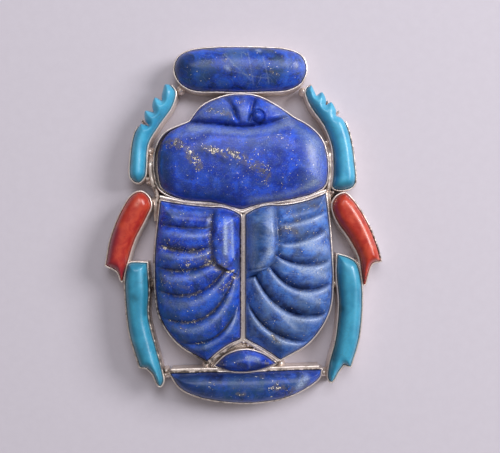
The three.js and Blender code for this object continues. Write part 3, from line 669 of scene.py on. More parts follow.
def wingCase(name, node, wing, material):
    flutes = len(wing["outer"]) - 1
    rows = flutes * wings["rowsPerFlute"]
    columns = wings["fanColumns"] + wings["shoulderColumns"]
    shares = np.linspace(0, 1, rows + 1)
    outer, bends, roots = (curveAt(wing[key], shares) for key in ("outer", "bends", "roots"))
    fan = np.linspace(0, 1, wings["fanColumns"] + 1)[None, :, None]
    fanPoints = (outer[:, None] * (1 - fan) ** 2 + 2 * bends[:, None] * fan * (1 - fan)
                 + roots[:, None] * fan ** 2)
    top, bottom = np.array(wing["inner"])
    down = (roots[:, 1] - roots[0, 1]) / (roots[-1, 1] - roots[0, 1])
    edge = top + (bottom - top) * down[:, None]
    across = np.linspace(0, 1, wings["shoulderColumns"] + 1)[1:]
    strip = roots[:, None] * (1 - across[None, :, None]) + edge[:, None] * across[None, :, None]
    flute = shares * flutes
    atTop = np.clip(1 - flute, 0, 1)[:, None]
    strip[:, :, 1] += wing["topBulge"] * atTop * 4 * (across * (1 - across))[None]
    grid = np.concatenate([fanPoints, strip], axis=1)
    width = columns + 1
    numbers = np.arange((rows + 1) * width).reshape(rows + 1, width)
    border = np.concatenate([numbers[0], numbers[1:-1, -1], numbers[-1][::-1], numbers[1:-1, 0][::-1]])
    points = grid.reshape(-1, 2)
    outline = points[border]
    inset = distanceTo(outline, points).reshape(rows + 1, width)
    along = (flute % 1)[:, None]
    crest = wing["crestAt"]
    fromCrest = np.where(along < crest, (crest - along) / crest, (along - crest) / (1 - crest))
    fromCrest[-1] = 1
    carving = fromCrest ** np.where(along < crest, 2.0, wing["fall"])
    groove = fold(np.minimum(along, 1 - along), wings["grooveWidth"])
    beforeEnd = (flute <= flutes - wings["plainEnd"])[:, None]
    groove *= beforeEnd & (flute >= wings["plainEnd"])[:, None]
    present = pillow((wings["shoulderEnd"] - flute) / wings["shoulderFade"])[:, None]
    shareAcross = np.concatenate([np.zeros(wings["fanColumns"]), [0], across])[None]
    isShoulder = (np.arange(width) > wings["fanColumns"])[None]
    toRoot = np.linalg.norm(grid - roots[:, None], axis=2)
    rootCut = present * fold(toRoot, np.where(isShoulder, wings["blockCut"], wings["rootCut"]))
    block = present * np.clip(np.sin(math.pi * shareAcross) * wings["blockSides"], 0, 1)
    fluted = np.where(isShoulder, 1 - present, 1 - 0.7 * rootCut)
    fade = np.clip(inset / wing["fluteFade"], 0, 1)
    fade = fade * (2 - fade)
    dome = wings["crown"] * pillow(inset / wings["round"])
    strength = np.interp(flute, *zip(*wing["strength"]))[:, None]
    relief = -wing["fluteDepth"] * (carving + wings["grooveCut"] * groove) * fluted * strength
    relief += wings["shoulderRise"] * block * isShoulder - wings["shoulderGroove"] * rootCut
    sag = body["handUneven"] * unevenAt(points, 3.5, 9.1).reshape(inset.shape) * fade
    heights = body["girdle"] + np.maximum(dome + relief * fade - sag, 0)
    verts = np.vstack([placed(points, heights.ravel()), placed(outline, body["backThickness"])])
    here = numbers[:-1, :-1].ravel()
    quads = np.column_stack([here, here + width, here + width + 1, here + 1])
    count = len(border)
    base = len(points)
    following = np.roll(np.arange(count), -1)
    sides = np.column_stack([border, border[following], base + following, base + np.arange(count)])
    under = [base + i for i in range(count)]
    if areaOf(outline) > 0:
        faces = quads[:, ::-1].tolist() + sides[:, ::-1].tolist() + [under[::-1]]
    else:
        faces = quads.tolist() + sides.tolist() + [under]
    grooveMark = groove * fluted * fade * strength
    rootMark = rootCut * fade
    # Painted highlight along each crest; painted shade on the band before each groove and in the grooves
    crestHighlightMark = fold(along - crest * 0.8, wings["crestWidth"]) * fluted * fade
    band = np.clip((along - wings["bandFrom"]) / wings["bandOver"], 0, 1) * beforeEnd
    bandShadeMark = band * fluted * fade * strength * np.clip(inset / 4, 0.3, 1)
    grooveShadeMark = wings["grooveShade"] * np.maximum(grooveMark, rootMark * 0.7)
    carved = {
        "paleAndHighlight": wing["crestHighlight"] * crestHighlightMark,
        "fleck": wing["grooveFlecks"] * np.maximum(grooveMark, rootMark),
        "darkAndShade": np.maximum(wing["bandShade"] * bandShadeMark, grooveShadeMark),
        "muted": np.zeros_like(inset),
    }
    paint = {}
    for key, extra in carved.items():
        values = np.clip(marked(points, wing[key]) + extra.ravel(), 0, 1)
        paint[key] = np.concatenate([values, np.zeros(count)])
    finishStone(name, node, verts, faces, paint, material)
    return counterClockwise(outline)


leftLapis = lapisMaterial("leftWingLapis", leftWing["lapis"])
rightLapis = lapisMaterial("rightWingLapis", rightWing["lapis"])
leftWingOutline = wingCase("leftWingCase", "left_wing_case_lapis", leftWing, leftLapis)
rightWingOutline = wingCase("rightWingCase", "right_wing_case_lapis", rightWing, rightLapis)

tail = {
    "crown": 2.6,
    "round": 2.0,
    # a highlight painted across the top of the tail
    "paleAndHighlight": [(0.8, -23.5, 2.8, -23.9, 0.35, 0.9), (1, -23.8, 1.2, -25.2, 0.2, 0.4)],
    "fleck": [(-4.2, -24.8, -3.4, -24.9, 0.6, 0.7), (4.2, -24.6, 5, -24.9, 0.6, 0.7)],
    "darkAndShade": [(-4.4, -25, -3.6, -25, 0.6, 0.4), (-3, -24.6, 3.6, -25.4, 1.5, 0.5)],
    "muted": [(-2.4, -24.2, -0.6, -23.4, 0.8, 0.5)],
}
tailOutline = cornered([
    [[-2.9, -23.5], [0.4, -22.6], [3.7, -23.4], [5.8, -24.9]],
    [[3.4, -25.9], [0.5, -26.4], [-2.4, -26.2], [-4.9, -25.3]],
], body["spacing"])
cutStone("tailStone", "tail_lapis", tailOutline, domed(tail["crown"], tail["round"]), tail,
         leftLapis)

crescent = {
    "lapis": {"offset": (12, 2, 0), "light": (0.022, 0.1, 0.6), "cloudy": 0.45, "dust": 0.9},
    "crown": 2.4,
    "round": 2.7,
    "muted": [(-10, -28.2, -3, -29.6, 4, -29.4, 2.2, 0.75), (7, -28.4, 9.5, -28.4, 0.8, 0.6),
        (-2.6, -30.8, -1.4, -27.6, 0.8, 0.6), (2.6, -30.6, 3.4, -27.8, 0.7, 0.5)],
    # a highlight painted along the middle ridge, and pale calcite at the right end
    "paleAndHighlight": [(-2, -28.9, 3.5, -28.7, 0.4, 0.15), (10.3, -28.4, 11.2, -27.4, 0.7, 0.9),
        (9.6, -29.2, 10.2, -28.8, 0.5, 0.6)],
    "fleck": [(6, -29, 8.6, -29.4, 0.9, 1), (-0.9, -30.1, 0.2, -30.1, 0.5, 0.9),
        (3.2, -27.1, 3.8, -27.1, 0.5, 0.7), (-8, -28, -5, -28.5, 0.8, 0.2)],
    # dark patches, and shade painted along the top edge under the tail
    "darkAndShade": [(-5.8, -27.3, -4.2, -27.3, 0.8, 0.7), (-11.5, -28.2, -6, -29.8, 1.5, 0.5),
        (-5, -29.4, 6, -29.4, 1.8, 0.32), (-11, -27, 8, -26.8, 0.45, 0.5),
        (12.2, -27, 13.2, -26.7, 0.5, 0.4)],
}
crescentOutline = cornered([
    [[-6, -26.6], [0.5, -26.6], [7, -26.3], [14, -26.1]],
    [[13.6, -27.5], [8.7, -30.6], [3.6, -31.75], [-1.2, -31.9], [-7.4, -31], [-11.2, -29.3], [-13, -26.8]],
], body["spacing"])
crescentLapis = lapisMaterial("crescentLapis", crescent["lapis"])
cutStone("lowerCrescent", "lower_crescent_lapis", crescentOutline,
         domed(crescent["crown"], crescent["round"]), crescent, crescentLapis)

# Legs

legs = {
    "turquoiseCrown": 2.2,
    "coralCrown": 2.4,
    "round": 1.75,
    "spacing": 0.17,
    "leftNotches": [[-17, 17.9], [-16.1, 20.3], [-14.6, 22.4], [-13.2, 25.3]],
    "rightNotches": [[16.8, 19.7], [14.9, 21.6], [13.2, 23.3], [12.2, 25.2]],
    "leftToothHeights": [1.5, 1.35, 0.75],
    "rightToothHeights": [1.05, 1.15, 0.1],
    "toothProfile": [(0.25, 0.6), (0.6, 0.95), (0.9, 1), (1, 0)],   # way along, share of the height
    "toothReach": (-0.35, 2.0),   # a point this far out of the line of notches belongs to the teeth
    "undercut": 0.9,          # the teeth stand out over their wall
}
skyTurquoise = {
    "blue": (0.035, 0.29, 0.5),
    "light": (0.06, 0.4, 0.62),
    "green": (0.045, 0.28, 0.34),
    # the colour of dark patches and of painted shade, and next the colour of pale patches and of painted
    # highlights
    "darkAndShade": (0.008, 0.1, 0.15),
    "pale": (0.16, 0.55, 0.78),
    "lines": (0.05, 0.1, 0.08),
    "roughness": 0.32,
    "coat": 0.1,
}
hindTurquoise = {
    **skyTurquoise,
    "blue": (0.022, 0.22, 0.37),
    "light": (0.04, 0.31, 0.48),
    "green": (0.03, 0.22, 0.27),
}
redCoral = {
    "red": (0.38, 0.021, 0.011),
    "orange": (0.54, 0.055, 0.02),
    # the colour of dark patches and of painted shade, and next the colour of pale patches and of painted
    # highlights
    "darkAndShade": (0.22, 0.008, 0.03),
    "pale": (0.8, 0.3, 0.22),
    "pores": (0.2, 0.015, 0.01),
    "roughness": 0.28,
    "coat": 0.12,
}


def teeth(notches, heights, outward):
    made = []
    for notch, nextNotch, height in zip(notches, notches[1:], heights):
        notch = np.array(notch)
        along = np.array(nextNotch) - notch
        across = np.array([along[1], -along[0]]) * outward / np.linalg.norm(along)
        made.append([(notch + along * share + across * (height * rise)).tolist()
                     for share, rise in legs["toothProfile"]])
    return made


def isToothed(loop, notches, outward):   # the points of a loop that run along the teeth
    notches = np.array(notches, float)
    along = notches[-1] - notches[0]
    offset = loop - notches[0]
    side = (offset[:, 0] * along[1] - offset[:, 1] * along[0]) * outward / np.linalg.norm(along)
    least, most = legs["toothReach"]
    return (distanceTo(notches, loop, closed=False) < most) & (side > least)


leftNotches = legs["leftNotches"]
rightNotches = legs["rightNotches"]
# In each leg, highlights are painted along the lit side of the dome, among pale patches, and dark patches
# stand with painted shade
legStones = {
    "leftFrontLeg": {
        "node": "left_front_leg_turquoise",
        "slot": "turquoise",
        "notches": (leftNotches, -1),
        "runs": [[[-12.3, 24], [-12.8, 21.6], [-15.3, 17.9], [-17.2, 14.6], [-17.6, 10.3], [-17.8, 8.8],
                  [-18.9, 7.7], [-20.1, 8.5], [-20.2, 11.7], [-19.5, 16.2], [-18.4, 18.3]],
                 [leftNotches[0]], *teeth(leftNotches, legs["leftToothHeights"], -1)],
        "paleAndHighlight": [(-17.5, 20, -13.6, 24.6, 1.3, 0.4), (-18.5, 15.5, -18.7, 10, 0.35, 0.35)],
        "darkAndShade": [(-20.2, 8.2, -17.8, 8.4, 0.8, 0.5), (-20.2, 11, -20, 15, 0.4, 0.35)],
    },
    "rightFrontLeg": {
        "node": "right_front_leg_turquoise",
        "slot": "turquoise",
        "notches": (rightNotches, 1),
        "runs": [*teeth(rightNotches, legs["rightToothHeights"], 1),
                 [[11.4, 24.2], [12.2, 21.6], [14.8, 17.8], [16.2, 13.9], [16.4, 9], [16.3, 6.8], [18, 6.4],
                  [19.9, 7.2], [19.9, 11.5], [19, 16.6], [17.9, 19.1], rightNotches[0]]],
        "paleAndHighlight": [(16.8, 19, 12.6, 24, 1, 0.35), (18.9, 16, 19.2, 9.5, 0.4, 0.25)],
        "darkAndShade": [(15.8, 14.6, 16.8, 9, 0.55, 0.7), (16.4, 7.2, 19.8, 7.4, 0.7, 0.55),
            (12.4, 21.4, 14.6, 18.2, 0.4, 0.5)],
    },
    "leftMiddleLeg": {
        "node": "left_middle_leg_coral",
        "slot": "coral",
        "runs": [[[-22.6, -8.3], [-21.8, -10.1]],
                 [[-20.9, -6.6], [-19.6, -2.6], [-17.5, 1.5], [-16.7, 3.6], [-17.3, 5.2], [-18.6, 5.9],
                  [-20, 5.2], [-21.7, 2.6], [-23.6, -2.1], [-24.6, -7.2]]],
        "paleAndHighlight": [(-18.9, 3.6, -18.4, 4.2, 0.35, 0.6)],
        "darkAndShade": [(-24.2, -6.6, -22.6, -1, 0.9, 0.9), (-22.6, -7.6, -21.6, -8.6, 1, 0.8),
            (-18.4, 4.6, -21.6, -5.6, 1.6, 0.16)],
    },
    "rightMiddleLeg": {
        "node": "right_middle_leg_coral",
        "slot": "coral",
        "runs": [[[21.4, -8.3], [21, -5.8], [19.3, -2.5], [16.9, 1], [16.2, 3.6], [17, 5.1], [18.3, 5.6],
                  [19.6, 4.5], [22, 0.9], [23.9, -3.5], [24.7, -6.4]], [[23.2, -6.9], [21.8, -10.9]]],
        "paleAndHighlight": [(19.4, 3.4, 23.2, -4, 0.3, 0.5), (24.2, -6.2, 23.6, -6.6, 0.4, 0.6)],
        "darkAndShade": [(16.6, 2.4, 19.2, -2.2, 0.5, 0.5), (21.4, -7.5, 21.8, -9.8, 0.6, 0.4)],
    },
    "leftHindLeg": {
        "node": "left_hind_leg_turquoise",
        "slot": "turquoise",
        "finish": "hind",
        "runs": [[[-20.2, -6.9], [-17.4, -6.9]],
                 [[-17.1, -11.5], [-17.2, -16.5], [-15.9, -22], [-14.7, -26.6], [-14.5, -28.2],
                  [-14.95, -28.95], [-15.45, -28.4], [-16.1, -26.9], [-17.2, -25.7]],
                 [[-18.5, -25.5]],
                 [[-20.3, -19.6], [-21, -13.6], [-21.1, -9.2], [-20.7, -7.2]]],
        "paleAndHighlight": [(-18.4, -7.8, -18.3, -10.8, 0.35, 0.4), (-16.6, -22.5, -15.4, -26.8, 0.3, 0.2)],
        "darkAndShade": [(-19.4, -12.8, -19.1, -13.2, 0.6, 0.6), (-20.9, -9, -20.4, -18, 0.35, 0.4),
            (-19.6, -22, -17.6, -25.4, -15.2, -28.6, 1.1, 0.6), (-17.6, -9, -17.5, -16, 0.3, 0.5),
            (-19.4, -9, -19.2, -19, 1.8, 0.13)],
    },
    "rightHindLeg": {
        "node": "right_hind_leg_turquoise",
        "slot": "turquoise",
        "finish": "hind",
        "runs": [[[17, -9], [17.4, -14.2], [16.8, -20.6], [15.6, -25.4], [15.45, -27.5], [15.85, -28.2],
                  [16.35, -27.7], [17, -26.5], [18.1, -25]],
                 [[19.3, -25.4]],
                 [[20.7, -20.6], [21.3, -14.6], [21.1, -9.6], [20.3, -6.9], [19, -6], [17.1, -5.4]]],
        "paleAndHighlight": [(18.4, -6.8, 20.2, -9, 0.8, 0.35), (20.2, -12, 19.8, -20, 0.35, 0.25)],
        "darkAndShade": [(17.2, -9, 17.6, -15, 0.5, 0.75), (17.6, -15, 16.2, -24, 0.5, 0.65)],
    },
}
legFinish = {
    "turquoise": turquoiseMaterial("skyTurquoise", skyTurquoise),
    "hind": turquoiseMaterial("hindTurquoise", hindTurquoise),
    "coral": coralMaterial("redCoral", redCoral),
}
legOutlines = {}
for legName, leg in legStones.items():
    legOutlines[legName] = cornered(leg["runs"], legs["spacing"])
    legHeight = domed(legs[leg["slot"] + "Crown"], legs["round"])
    undercut = np.zeros(len(legOutlines[legName]))
    if "notches" in leg:
        undercut[isToothed(legOutlines[legName], *leg["notches"])] = legs["undercut"]
    finish = legFinish[leg.get("finish", leg["slot"])]
    cutStone(legName, leg["node"], legOutlines[legName], legHeight, leg, finish, undercut)

# Silver setting

setting = {
    "rimGap": 0.04,           # the rims are pressed close to the stones
    "rimWidth": 0.31,
    "cornerRound": 0.14,
    "wobble": 0.03,
    "serratedHeight": 3.1,
    "standsBack": 0.5,
    "webHeight": 1.8,
    "wireSpacing": 0.3,
    "wires": {   # share: of the walls' height; atEnds: how much of that is left at a wire's ends
        "midWire": {
            "Width": 0.82, "Corner Round": 0.3, "share": 1.0, "atEnds": 1.0,
            "courses": [[[0, 1.9], [0.04, -6], [-0.03, -13], [0, -20.6]]],
        },
        "waistWires": {
            "Width": 0.6, "Corner Round": 0.24, "share": 0.99, "atEnds": 1.0,
            "courses": [[[-15, 5.1], [-10, 4.1], [-4, 3.6], [-0.1, 2.3]],
                        [[-0.1, 2.3], [4, 3.9], [10, 4.5], [15, 6.2]],
                        [[0, -20.6], [-2.3, -22], [-6.2, -24.8]], [[0, -20.6], [2.2, -21.9], [6.4, -24.6]]],
        },
        "crescentBand": {
            "Width": 0.9, "Height": body["rimHeight"] - 0.2, "Corner Round": 0.2,
            "share": 1.0, "atEnds": 1.0,
            "courses": [[[-12.9, -26.35], [-7, -26.2], [0, -26.2], [7, -25.95], [13.7, -25.75]]],
        },
        "solderSeams": {
            "Width": 0.8, "Corner Round": 0.32, "Wobble": 0.13, "share": 0.88, "atEnds": 0.5,
            "courses": [[[-16.95, 13.6], [-16.72, 12], [-16.7, 9.5], [-16.35, 7.8], [-15.85, 6.4],
                         [-15.6, 5.2], [-15.75, 3.9], [-15.85, 2.4], [-15.9, 0.8]],
                        [[15.15, 15.3], [15.5, 14], [15.75, 12.6], [15.85, 9.4], [15.65, 7.8], [15.5, 6.4],
                         [15.5, 5.2], [15.7, 4], [15.8, 2.6]]],
        },
    },
    "endSteps": 9,            # points over which a wire rises to its full height
    # tarnish on walls and solder, and shade painted on walls that face away from the lamp and in the shaded
    # hollows by the web and the crescent
    "tarnishAndShade": [(-12.9, -26.65, -5, -26.6, 0.5, 1.4), (-16.9, 13.4, -16.6, 8, -15.7, 5, 0.5, 0.3),
        (4.5, -26.4, 13.6, -26.15, 0.45, 1), (19, 17.6, 20.3, 12, 20.3, 7.6, 0.45, 0.7),
        (20, 5, 22.6, 0.8, 24.9, -6, 0.5, 0.75),
        (-14.2, -26.6, -15.6, -21.6, -16.9, -16.5, -16.8, -7.2, 0.4, 0.95),
        (15.4, -20.6, 15, -28.4, 0.35, 0.6), (21.3, -8, 21.5, -14, 20.8, -21, 0.4, 0.5),
        (-6.6, -24.8, -1.6, -22, 0.8, 0.8), (6.8, -25.2, 4, -23.6, 0.6, 0.7),
        (-20, 8, -17.4, 7.2, 0.6, 0.5), (-15.6, 14, -15.9, 5, 0.6, 0.7),
        (-15.4, 4, -16.2, -3, -16.3, -11, -15.2, -17, -7, -24.8, 0.5, 0.8),
        (16.1, -16.2, 12.3, -21.6, 7, -24.8, 0.5, 0.5), (-12.4, 24.6, -11.6, 25.4, 0.7, 0.5),
        (-12.8, 28, -10, 31.8, -1, 32.4, 0.4, 0.4), (-24.9, -6, -22, 2.6, 0.4, 0.5),
        (-21.6, -8, -20.8, -19.6, -18.8, -25.2, 0.35, 0.6),
        (-13.4, -28, -7.4, -31.4, -1.2, -32.4, 3.6, -32.2, 8.7, -31, 0.4, 0.6),
        (-0.4, 1.2, -0.42, -19.8, 0.16, 0.8), (-14.6, 4.4, -4, 3.1, -0.4, 2, 0.2, 0.6),
        (0.3, 2, 4, 3.3, 14, 5.3, 0.2, 0.5)],
    "tarnishBelow": 0.3,      # how much of the marked tarnish and painted shade reaches the foot of the walls
    "thoraxSlack": 0.5,
    "solderHeight": 3.4,
    "solderRadius": 0.85,
    "solderWobble": 0.1,
    "sharpOver": 60,
    "web": [[-1.1, -20.9], [-7.2, -25.4], [-4.9, -26], [5.6, -25.7], [7.4, -25.2], [1.1, -20.9]],
    "solderPlaces": [[-11.4, 24.6], [11, 24.3], [-16.9, 13.4], [-17, 8], [-16, 4.4], [15.8, 9.9],
                     [15.7, 5.6], [-20.6, -7.3], [20.9, -7], [-16.4, -10.6], [16.7, -10.6],
                     [-13.8, -27.1], [14.7, -26.8], [-6.6, -25.4], [6.8, -25.2]],
    "lumps": [([0.05, -21.1], 0.75, 1.36), ([0.9, -21.7], 0.6, 1.34), ([2, -22.3], 0.45, 1.32),
              ([-17.3, 8.3], 0.6, 1.33), ([15.3, 22.4], 0.35, 1.15), ([17.3, 20.6], 0.35, 1.15),
              ([16.2, 5.9], 0.5, 1.34), ([-18.3, 18.9], 0.35, 1.15), ([12.3, 25.2], 0.5, 1.25),
              ([15.4, 6.4], 0.6, 1.34), ([-13.9, -26.2], 0.6, 1.34), ([-14, -27], 0.45, 1.3)],
}


def silverTree(silver, makesBlobs):
    tree = bpy.data.node_groups.new("silverBlobs" if makesBlobs else "silverWalls", "GeometryNodeTree")
    tree.interface.new_socket(name="Geometry", in_out="INPUT", socket_type="NodeSocketGeometry")
    sockets = {}
    for label in ("Width", "Height", "Corner Round", "Wobble"):
        sockets[label] = tree.interface.new_socket(name=label, in_out="INPUT",
                                                   socket_type="NodeSocketFloat")
    tree.interface.new_socket(name="Geometry", in_out="OUTPUT", socket_type="NodeSocketGeometry")
    given = addNode(tree, "NodeGroupInput").outputs
    width, height, cornerRound, wobble = (given[label] for label in sockets)
    if makesBlobs:
        ball = outOf(tree, "GeometryNodeMeshIcoSphere", {"Radius": 0.5, "Subdivisions": 3})
        size = outOf(tree, "ShaderNodeCombineXYZ", {0: width, 1: width, 2: height})
        spread = outOf(tree, "GeometryNodeInputNamedAttribute", {"Name": "spread"},
                       data_type="FLOAT_VECTOR")
        scale = outOf(tree, "ShaderNodeVectorMath", {0: size, 1: spread}, operation="MULTIPLY")
        placedBalls = outOf(tree, "GeometryNodeInstanceOnPoints", {
            "Points": given["Geometry"], "Instance": ball, "Scale": scale})
        shape = outOf(tree, "GeometryNodeRealizeInstances", {0: placedBalls})
    else:
        path = outOf(tree, "GeometryNodeMeshToCurve", {0: given["Geometry"]})
        upright = outOf(tree, "GeometryNodeSetCurveNormal", {0: path}, mode="Z_UP")
        section = outOf(tree, "GeometryNodeCurvePrimitiveQuadrilateral", {0: width, 1: height})
        up = outOf(tree, "ShaderNodeCombineXYZ", {1: times(tree, height, -0.5)})
        section = outOf(tree, "GeometryNodeTransform", {0: section, "Translation": up})
        rounded = outOf(tree, "GeometryNodeFilletCurve", {0: section, "Radius": cornerRound, "Count": 4},
                        mode="POLY")
        swept = outOf(tree, "GeometryNodeCurveToMesh", {0: upright, 1: rounded, "Fill Caps": True})
        rimTop = outOf(tree, "GeometryNodeInputNamedAttribute", {"Name": "rimTop"}, data_type="FLOAT")
        stretch = outOf(tree, "ShaderNodeCombineXYZ", {0: 1.0, 1: 1.0, 2: rimTop})
        place = outOf(tree, "GeometryNodeInputPosition")
        lowered = outOf(tree, "ShaderNodeVectorMath", {0: place, 1: stretch}, operation="MULTIPLY")
        shape = outOf(tree, "GeometryNodeSetPosition", {0: swept, "Position": lowered})
    place = outOf(tree, "GeometryNodeInputPosition")
    waves = addNode(tree, "ShaderNodeTexNoise", {"Vector": place, "Scale": 900.0, "Detail": 2.0})
    centred = outOf(tree, "ShaderNodeVectorMath", {0: waves.outputs["Color"], 1: (0.5, 0.5, 0.5)},
                    operation="SUBTRACT")
    push = outOf(tree, "ShaderNodeVectorMath", {0: centred, "Scale": times(tree, wobble, 2.0)},
                 operation="SCALE")
    uneven = outOf(tree, "GeometryNodeSetPosition", {0: shape, "Offset": push})
    smooth = outOf(tree, "GeometryNodeSetShadeSmooth", {0: uneven})
    whole = outOf(tree, "GeometryNodeRealizeInstances", {0: smooth})
    coated = outOf(tree, "GeometryNodeSetMaterial", {0: whole, "Material": silver})
    addNode(tree, "NodeGroupOutput", {0: coated})
    return tree, sockets


def grownBy(name, grower, mesh, sizes):   # the mesh that a tree makes of this one
    tree, sockets = grower
    carrier = bpy.data.objects.new(name, mesh)
    bpy.context.scene.collection.objects.link(carrier)
    modifier = carrier.modifiers.new(name, "NODES")
    modifier.node_group = tree
    for label, value in sizes.items():
        modifier[sockets[label].identifier] = value * mm
    graph = bpy.context.evaluated_depsgraph_get()
    made = bpy.data.meshes.new_from_object(carrier.evaluated_get(graph))
    carrier.modifiers.remove(modifier)
    bpy.data.objects.remove(carrier)
    return made


def pathMesh(name, paths, closed):   # paths: points and the share of the full height that each keeps
    verts, edges, tops = [], [], []
    for points, top in paths:
        first = len(verts)
        verts += placed(points, 0.0).tolist()
        tops += list(np.broadcast_to(top, len(points)))
        edges += [(first + i, first + i + 1) for i in range(len(points) - 1)]
        if closed:
            edges.append((len(verts) - 1, first))
    mesh = bpy.data.meshes.new(name)
    mesh.from_pydata(verts, edges, [])
    attribute = mesh.attributes.new("rimTop", "FLOAT", "POINT")
    attribute.data.foreach_set("value", np.array(tops, np.float32))
    return mesh


def plate(bm, loop, bottom, top):   # a flat closed plate
    low = [bm.verts.new(point) for point in placed(loop, bottom)]
    high = [bm.verts.new(point) for point in placed(loop, top)]
    bm.faces.new(low[::-1])
    bm.faces.new(high)
    for i in range(len(loop)):
        j = (i + 1) % len(loop)
        bm.faces.new([low[i], low[j], high[j], high[i]])


silver = silverMaterial("rubbedSilver", {
    "bright": (0.98, 0.9, 0.84),
    "warm": (0.82, 0.69, 0.61),
    "brown": (0.3, 0.22, 0.175),
    "black": (0.05, 0.04, 0.035),
    "soot": 0.8,
    "tarnishTop": 2.0,
    "tarnish": 0.25,
    "patches": 0.5,
    "metallic": 0.72,
    "roughness": 0.28,
})
thoraxCell = thoraxOutline.copy()
leftwards = np.clip((-thoraxCell[:, 0] - 10) / 4.5, 0, 1)
thoraxCell[:, 0] -= setting["thoraxSlack"] * leftwards ** 2 * (3 - 2 * leftwards)
wallMiddle = setting["rimGap"] + setting["rimWidth"] / 2
cells = [barOutline, thoraxCell, leftWingOutline, rightWingOutline, tailOutline, crescentOutline,
         *legOutlines.values()]
walls = [(moved(cell, wallMiddle), 1.0) for cell in cells[:-len(legOutlines)]]
for legName, cell in legOutlines.items():
    loop = moved(cell, wallMiddle)
    isLow = np.zeros(len(loop), bool)
    if "notches" in legStones[legName]:   # the wall is filed down and stands back under the teeth
        isLow = isToothed(loop, *legStones[legName]["notches"])
    loop = loop - outwards(loop) * (isLow * setting["standsBack"])[:, None]
    walls.append((loop, np.where(isLow, setting["serratedHeight"] / body["rimHeight"], 1.0)))

wallTree = silverTree(silver, False)
wallSizes = {"Width": setting["rimWidth"], "Height": body["rimHeight"] - setting["wobble"],
             "Corner Round": setting["cornerRound"], "Wobble": setting["wobble"]}
silverParts = [grownBy("bezelWalls", wallTree, pathMesh("bezelPaths", walls, True), wallSizes)]
for wireName, wire in setting["wires"].items():
    paths = []
    for course in wire["courses"]:
        line = smoothLine(course, setting["wireSpacing"])
        steps = np.arange(len(line))
        fromEnd = np.clip(np.minimum(steps, steps[::-1]) / setting["endSteps"], 0, 1)
        share = wire["atEnds"] + (1 - wire["atEnds"]) * fromEnd ** 2 * (3 - 2 * fromEnd)
        paths.append((line, wire["share"] * share))
    sizes = {label: wire.get(label, size) for label, size in wallSizes.items()}
    silverParts.append(grownBy(wireName, wallTree, pathMesh(wireName + "Paths", paths, False), sizes))

blobs = [(place, 1.0, 1.0) for place in setting["solderPlaces"]] + setting["lumps"]
blobMesh = bpy.data.meshes.new("solderPoints")
middles = [placed([place], setting["solderHeight"] * tall / 2)[0].tolist() for place, wide, tall in blobs]
blobMesh.from_pydata(middles, [], [])
spreads = np.array([(wide, wide, tall) for place, wide, tall in blobs], np.float32)
blobMesh.attributes.new("spread", "FLOAT_VECTOR", "POINT").data.foreach_set("vector", spreads.ravel())
blobSizes = {"Width": setting["solderRadius"] * 2, "Height": setting["solderHeight"] - 0.1,
             "Corner Round": 0.0, "Wobble": setting["solderWobble"]}
silverParts.append(grownBy("solder", silverTree(silver, True), blobMesh, blobSizes))

bm = bmesh.new()
for part in silverParts:
    bm.from_mesh(part)
for cell in cells:
    plate(bm, moved(cell, wallMiddle), 0.0, body["backThickness"] - 0.05)
plate(bm, counterClockwise(np.array(setting["web"])), 0.0, setting["webHeight"])
silverMesh = bpy.data.meshes.new("silverSetting")
bm.to_mesh(silverMesh)
bm.free()
silverMesh.set_sharp_from_angle(angle=math.radians(setting["sharpOver"]))
for vertex in silverMesh.vertices:
    vertex.co.z = max(vertex.co.z, 0)   # flat on the paper
silverPoints = np.array([point.co[:] for point in silverMesh.vertices]) / mm
upTheWall = np.clip(silverPoints[:, 2] / body["rimHeight"], 0, 1) ** 2
# the marked tarnish together with the painted shade
tarnish = marked(silverPoints[:, :2] - shift, setting["tarnishAndShade"])
tarnish *= setting["tarnishBelow"] + (1 - setting["tarnishBelow"]) * upTheWall
tarnishAndShade = silverMesh.attributes.new("tarnishAndShade", "FLOAT", "POINT")
tarnishAndShade.data.foreach_set("value", tarnish.astype(np.float32))
silverSetting = addObject("silverSetting", silverMesh, silver)
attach(silverSetting, "root")
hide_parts("silver_setting")
print("silver setting", len(silverMesh.polygons), "faces")

# Paper, light and camera

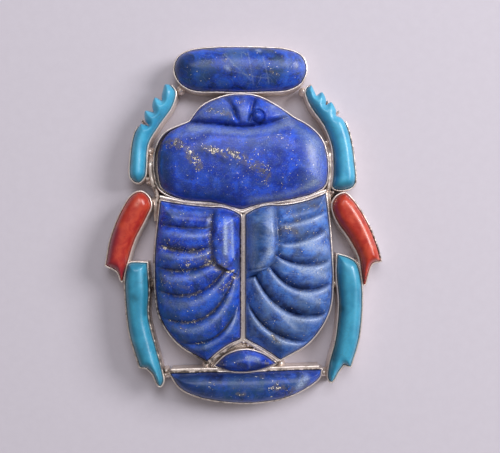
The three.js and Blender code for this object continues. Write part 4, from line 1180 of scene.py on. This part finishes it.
studio = {
    "paper": (0.585, 0.55, 0.615),
    "fibres": (0.45, 0.415, 0.47),
    "paperTop": -0.00002,
    "paperReach": 0.9,
    "worldColour": (1.0, 0.93, 0.9),
    "worldStrength": 0.3,
    "keyPlace": (0.52, 0.23, 0.4),
    "keySize": 0.34,
    "keyPower": 4.3,
    "keyColour": (1.0, 0.985, 1.0),
    "fillPlace": (0.02, 0.26, 0.5),
    "fillSize": 0.3,
    "fillPower": 1.15,
    "fillColour": (0.93, 0.95, 1.0),
    "cameraHeight": 164.5,
    "lookAt": [1.26, -0.27],
    "lens": 64,
    "sensorWidth": 36,
    "clip": (0.01, 5),
}

paperMaterial, tree, place = newMaterial("palePaper")
fibres = noiseOf(tree, place, 0.6, 5, 0.7)
paperColour = mixed(tree, ranged(tree, fibres, 0.3, 0.7, 0.0, 0.12), studio["paper"], studio["fibres"])
finishMaterial(tree, {"Base Color": paperColour, "Roughness": 0.85}, [(fibres, 0.15, 0.05)])
reach = studio["paperReach"] / 2
corners = [(x * reach, y * reach, studio["paperTop"]) for x, y in ((-1, -1), (1, -1), (1, 1), (-1, 1))]
paperMesh = bpy.data.meshes.new("paper")
paperMesh.from_pydata(corners, [], [(0, 1, 2, 3)])
paper = addObject("paper", paperMesh, paperMaterial)

for light in ("key", "fill"):   # soft round lamps that face the middle of the piece
    lampData = bpy.data.lights.new(light + "Light", "AREA")
    lampData.shape = "DISK"
    lampData.size = studio[light + "Size"]
    lampData.energy = studio[light + "Power"]
    lampData.color = studio[light + "Colour"]
    lamp = bpy.data.objects.new(light + "Light", lampData)
    lamp.location = studio[light + "Place"]
    lamp.rotation_euler = (-lamp.location).to_track_quat("-Z", "Y").to_euler()
    bpy.context.scene.collection.objects.link(lamp)

world = bpy.data.worlds.new("studio")
world.use_nodes = True
background = world.node_tree.nodes["Background"]
background.inputs[0].default_value = (*studio["worldColour"], 1)
background.inputs[1].default_value = studio["worldStrength"]
bpy.context.scene.world = world

cameraData = bpy.data.cameras.new("camera")
cameraData.lens = studio["lens"]
cameraData.sensor_width = studio["sensorWidth"]
cameraData.clip_start, cameraData.clip_end = studio["clip"]
camera = bpy.data.objects.new("camera", cameraData)
camera.location = placed([studio["lookAt"]], studio["cameraHeight"])[0].tolist()
bpy.context.scene.collection.objects.link(camera)
bpy.context.scene.camera = camera
bpy.context.scene.view_settings.view_transform = "Standard"
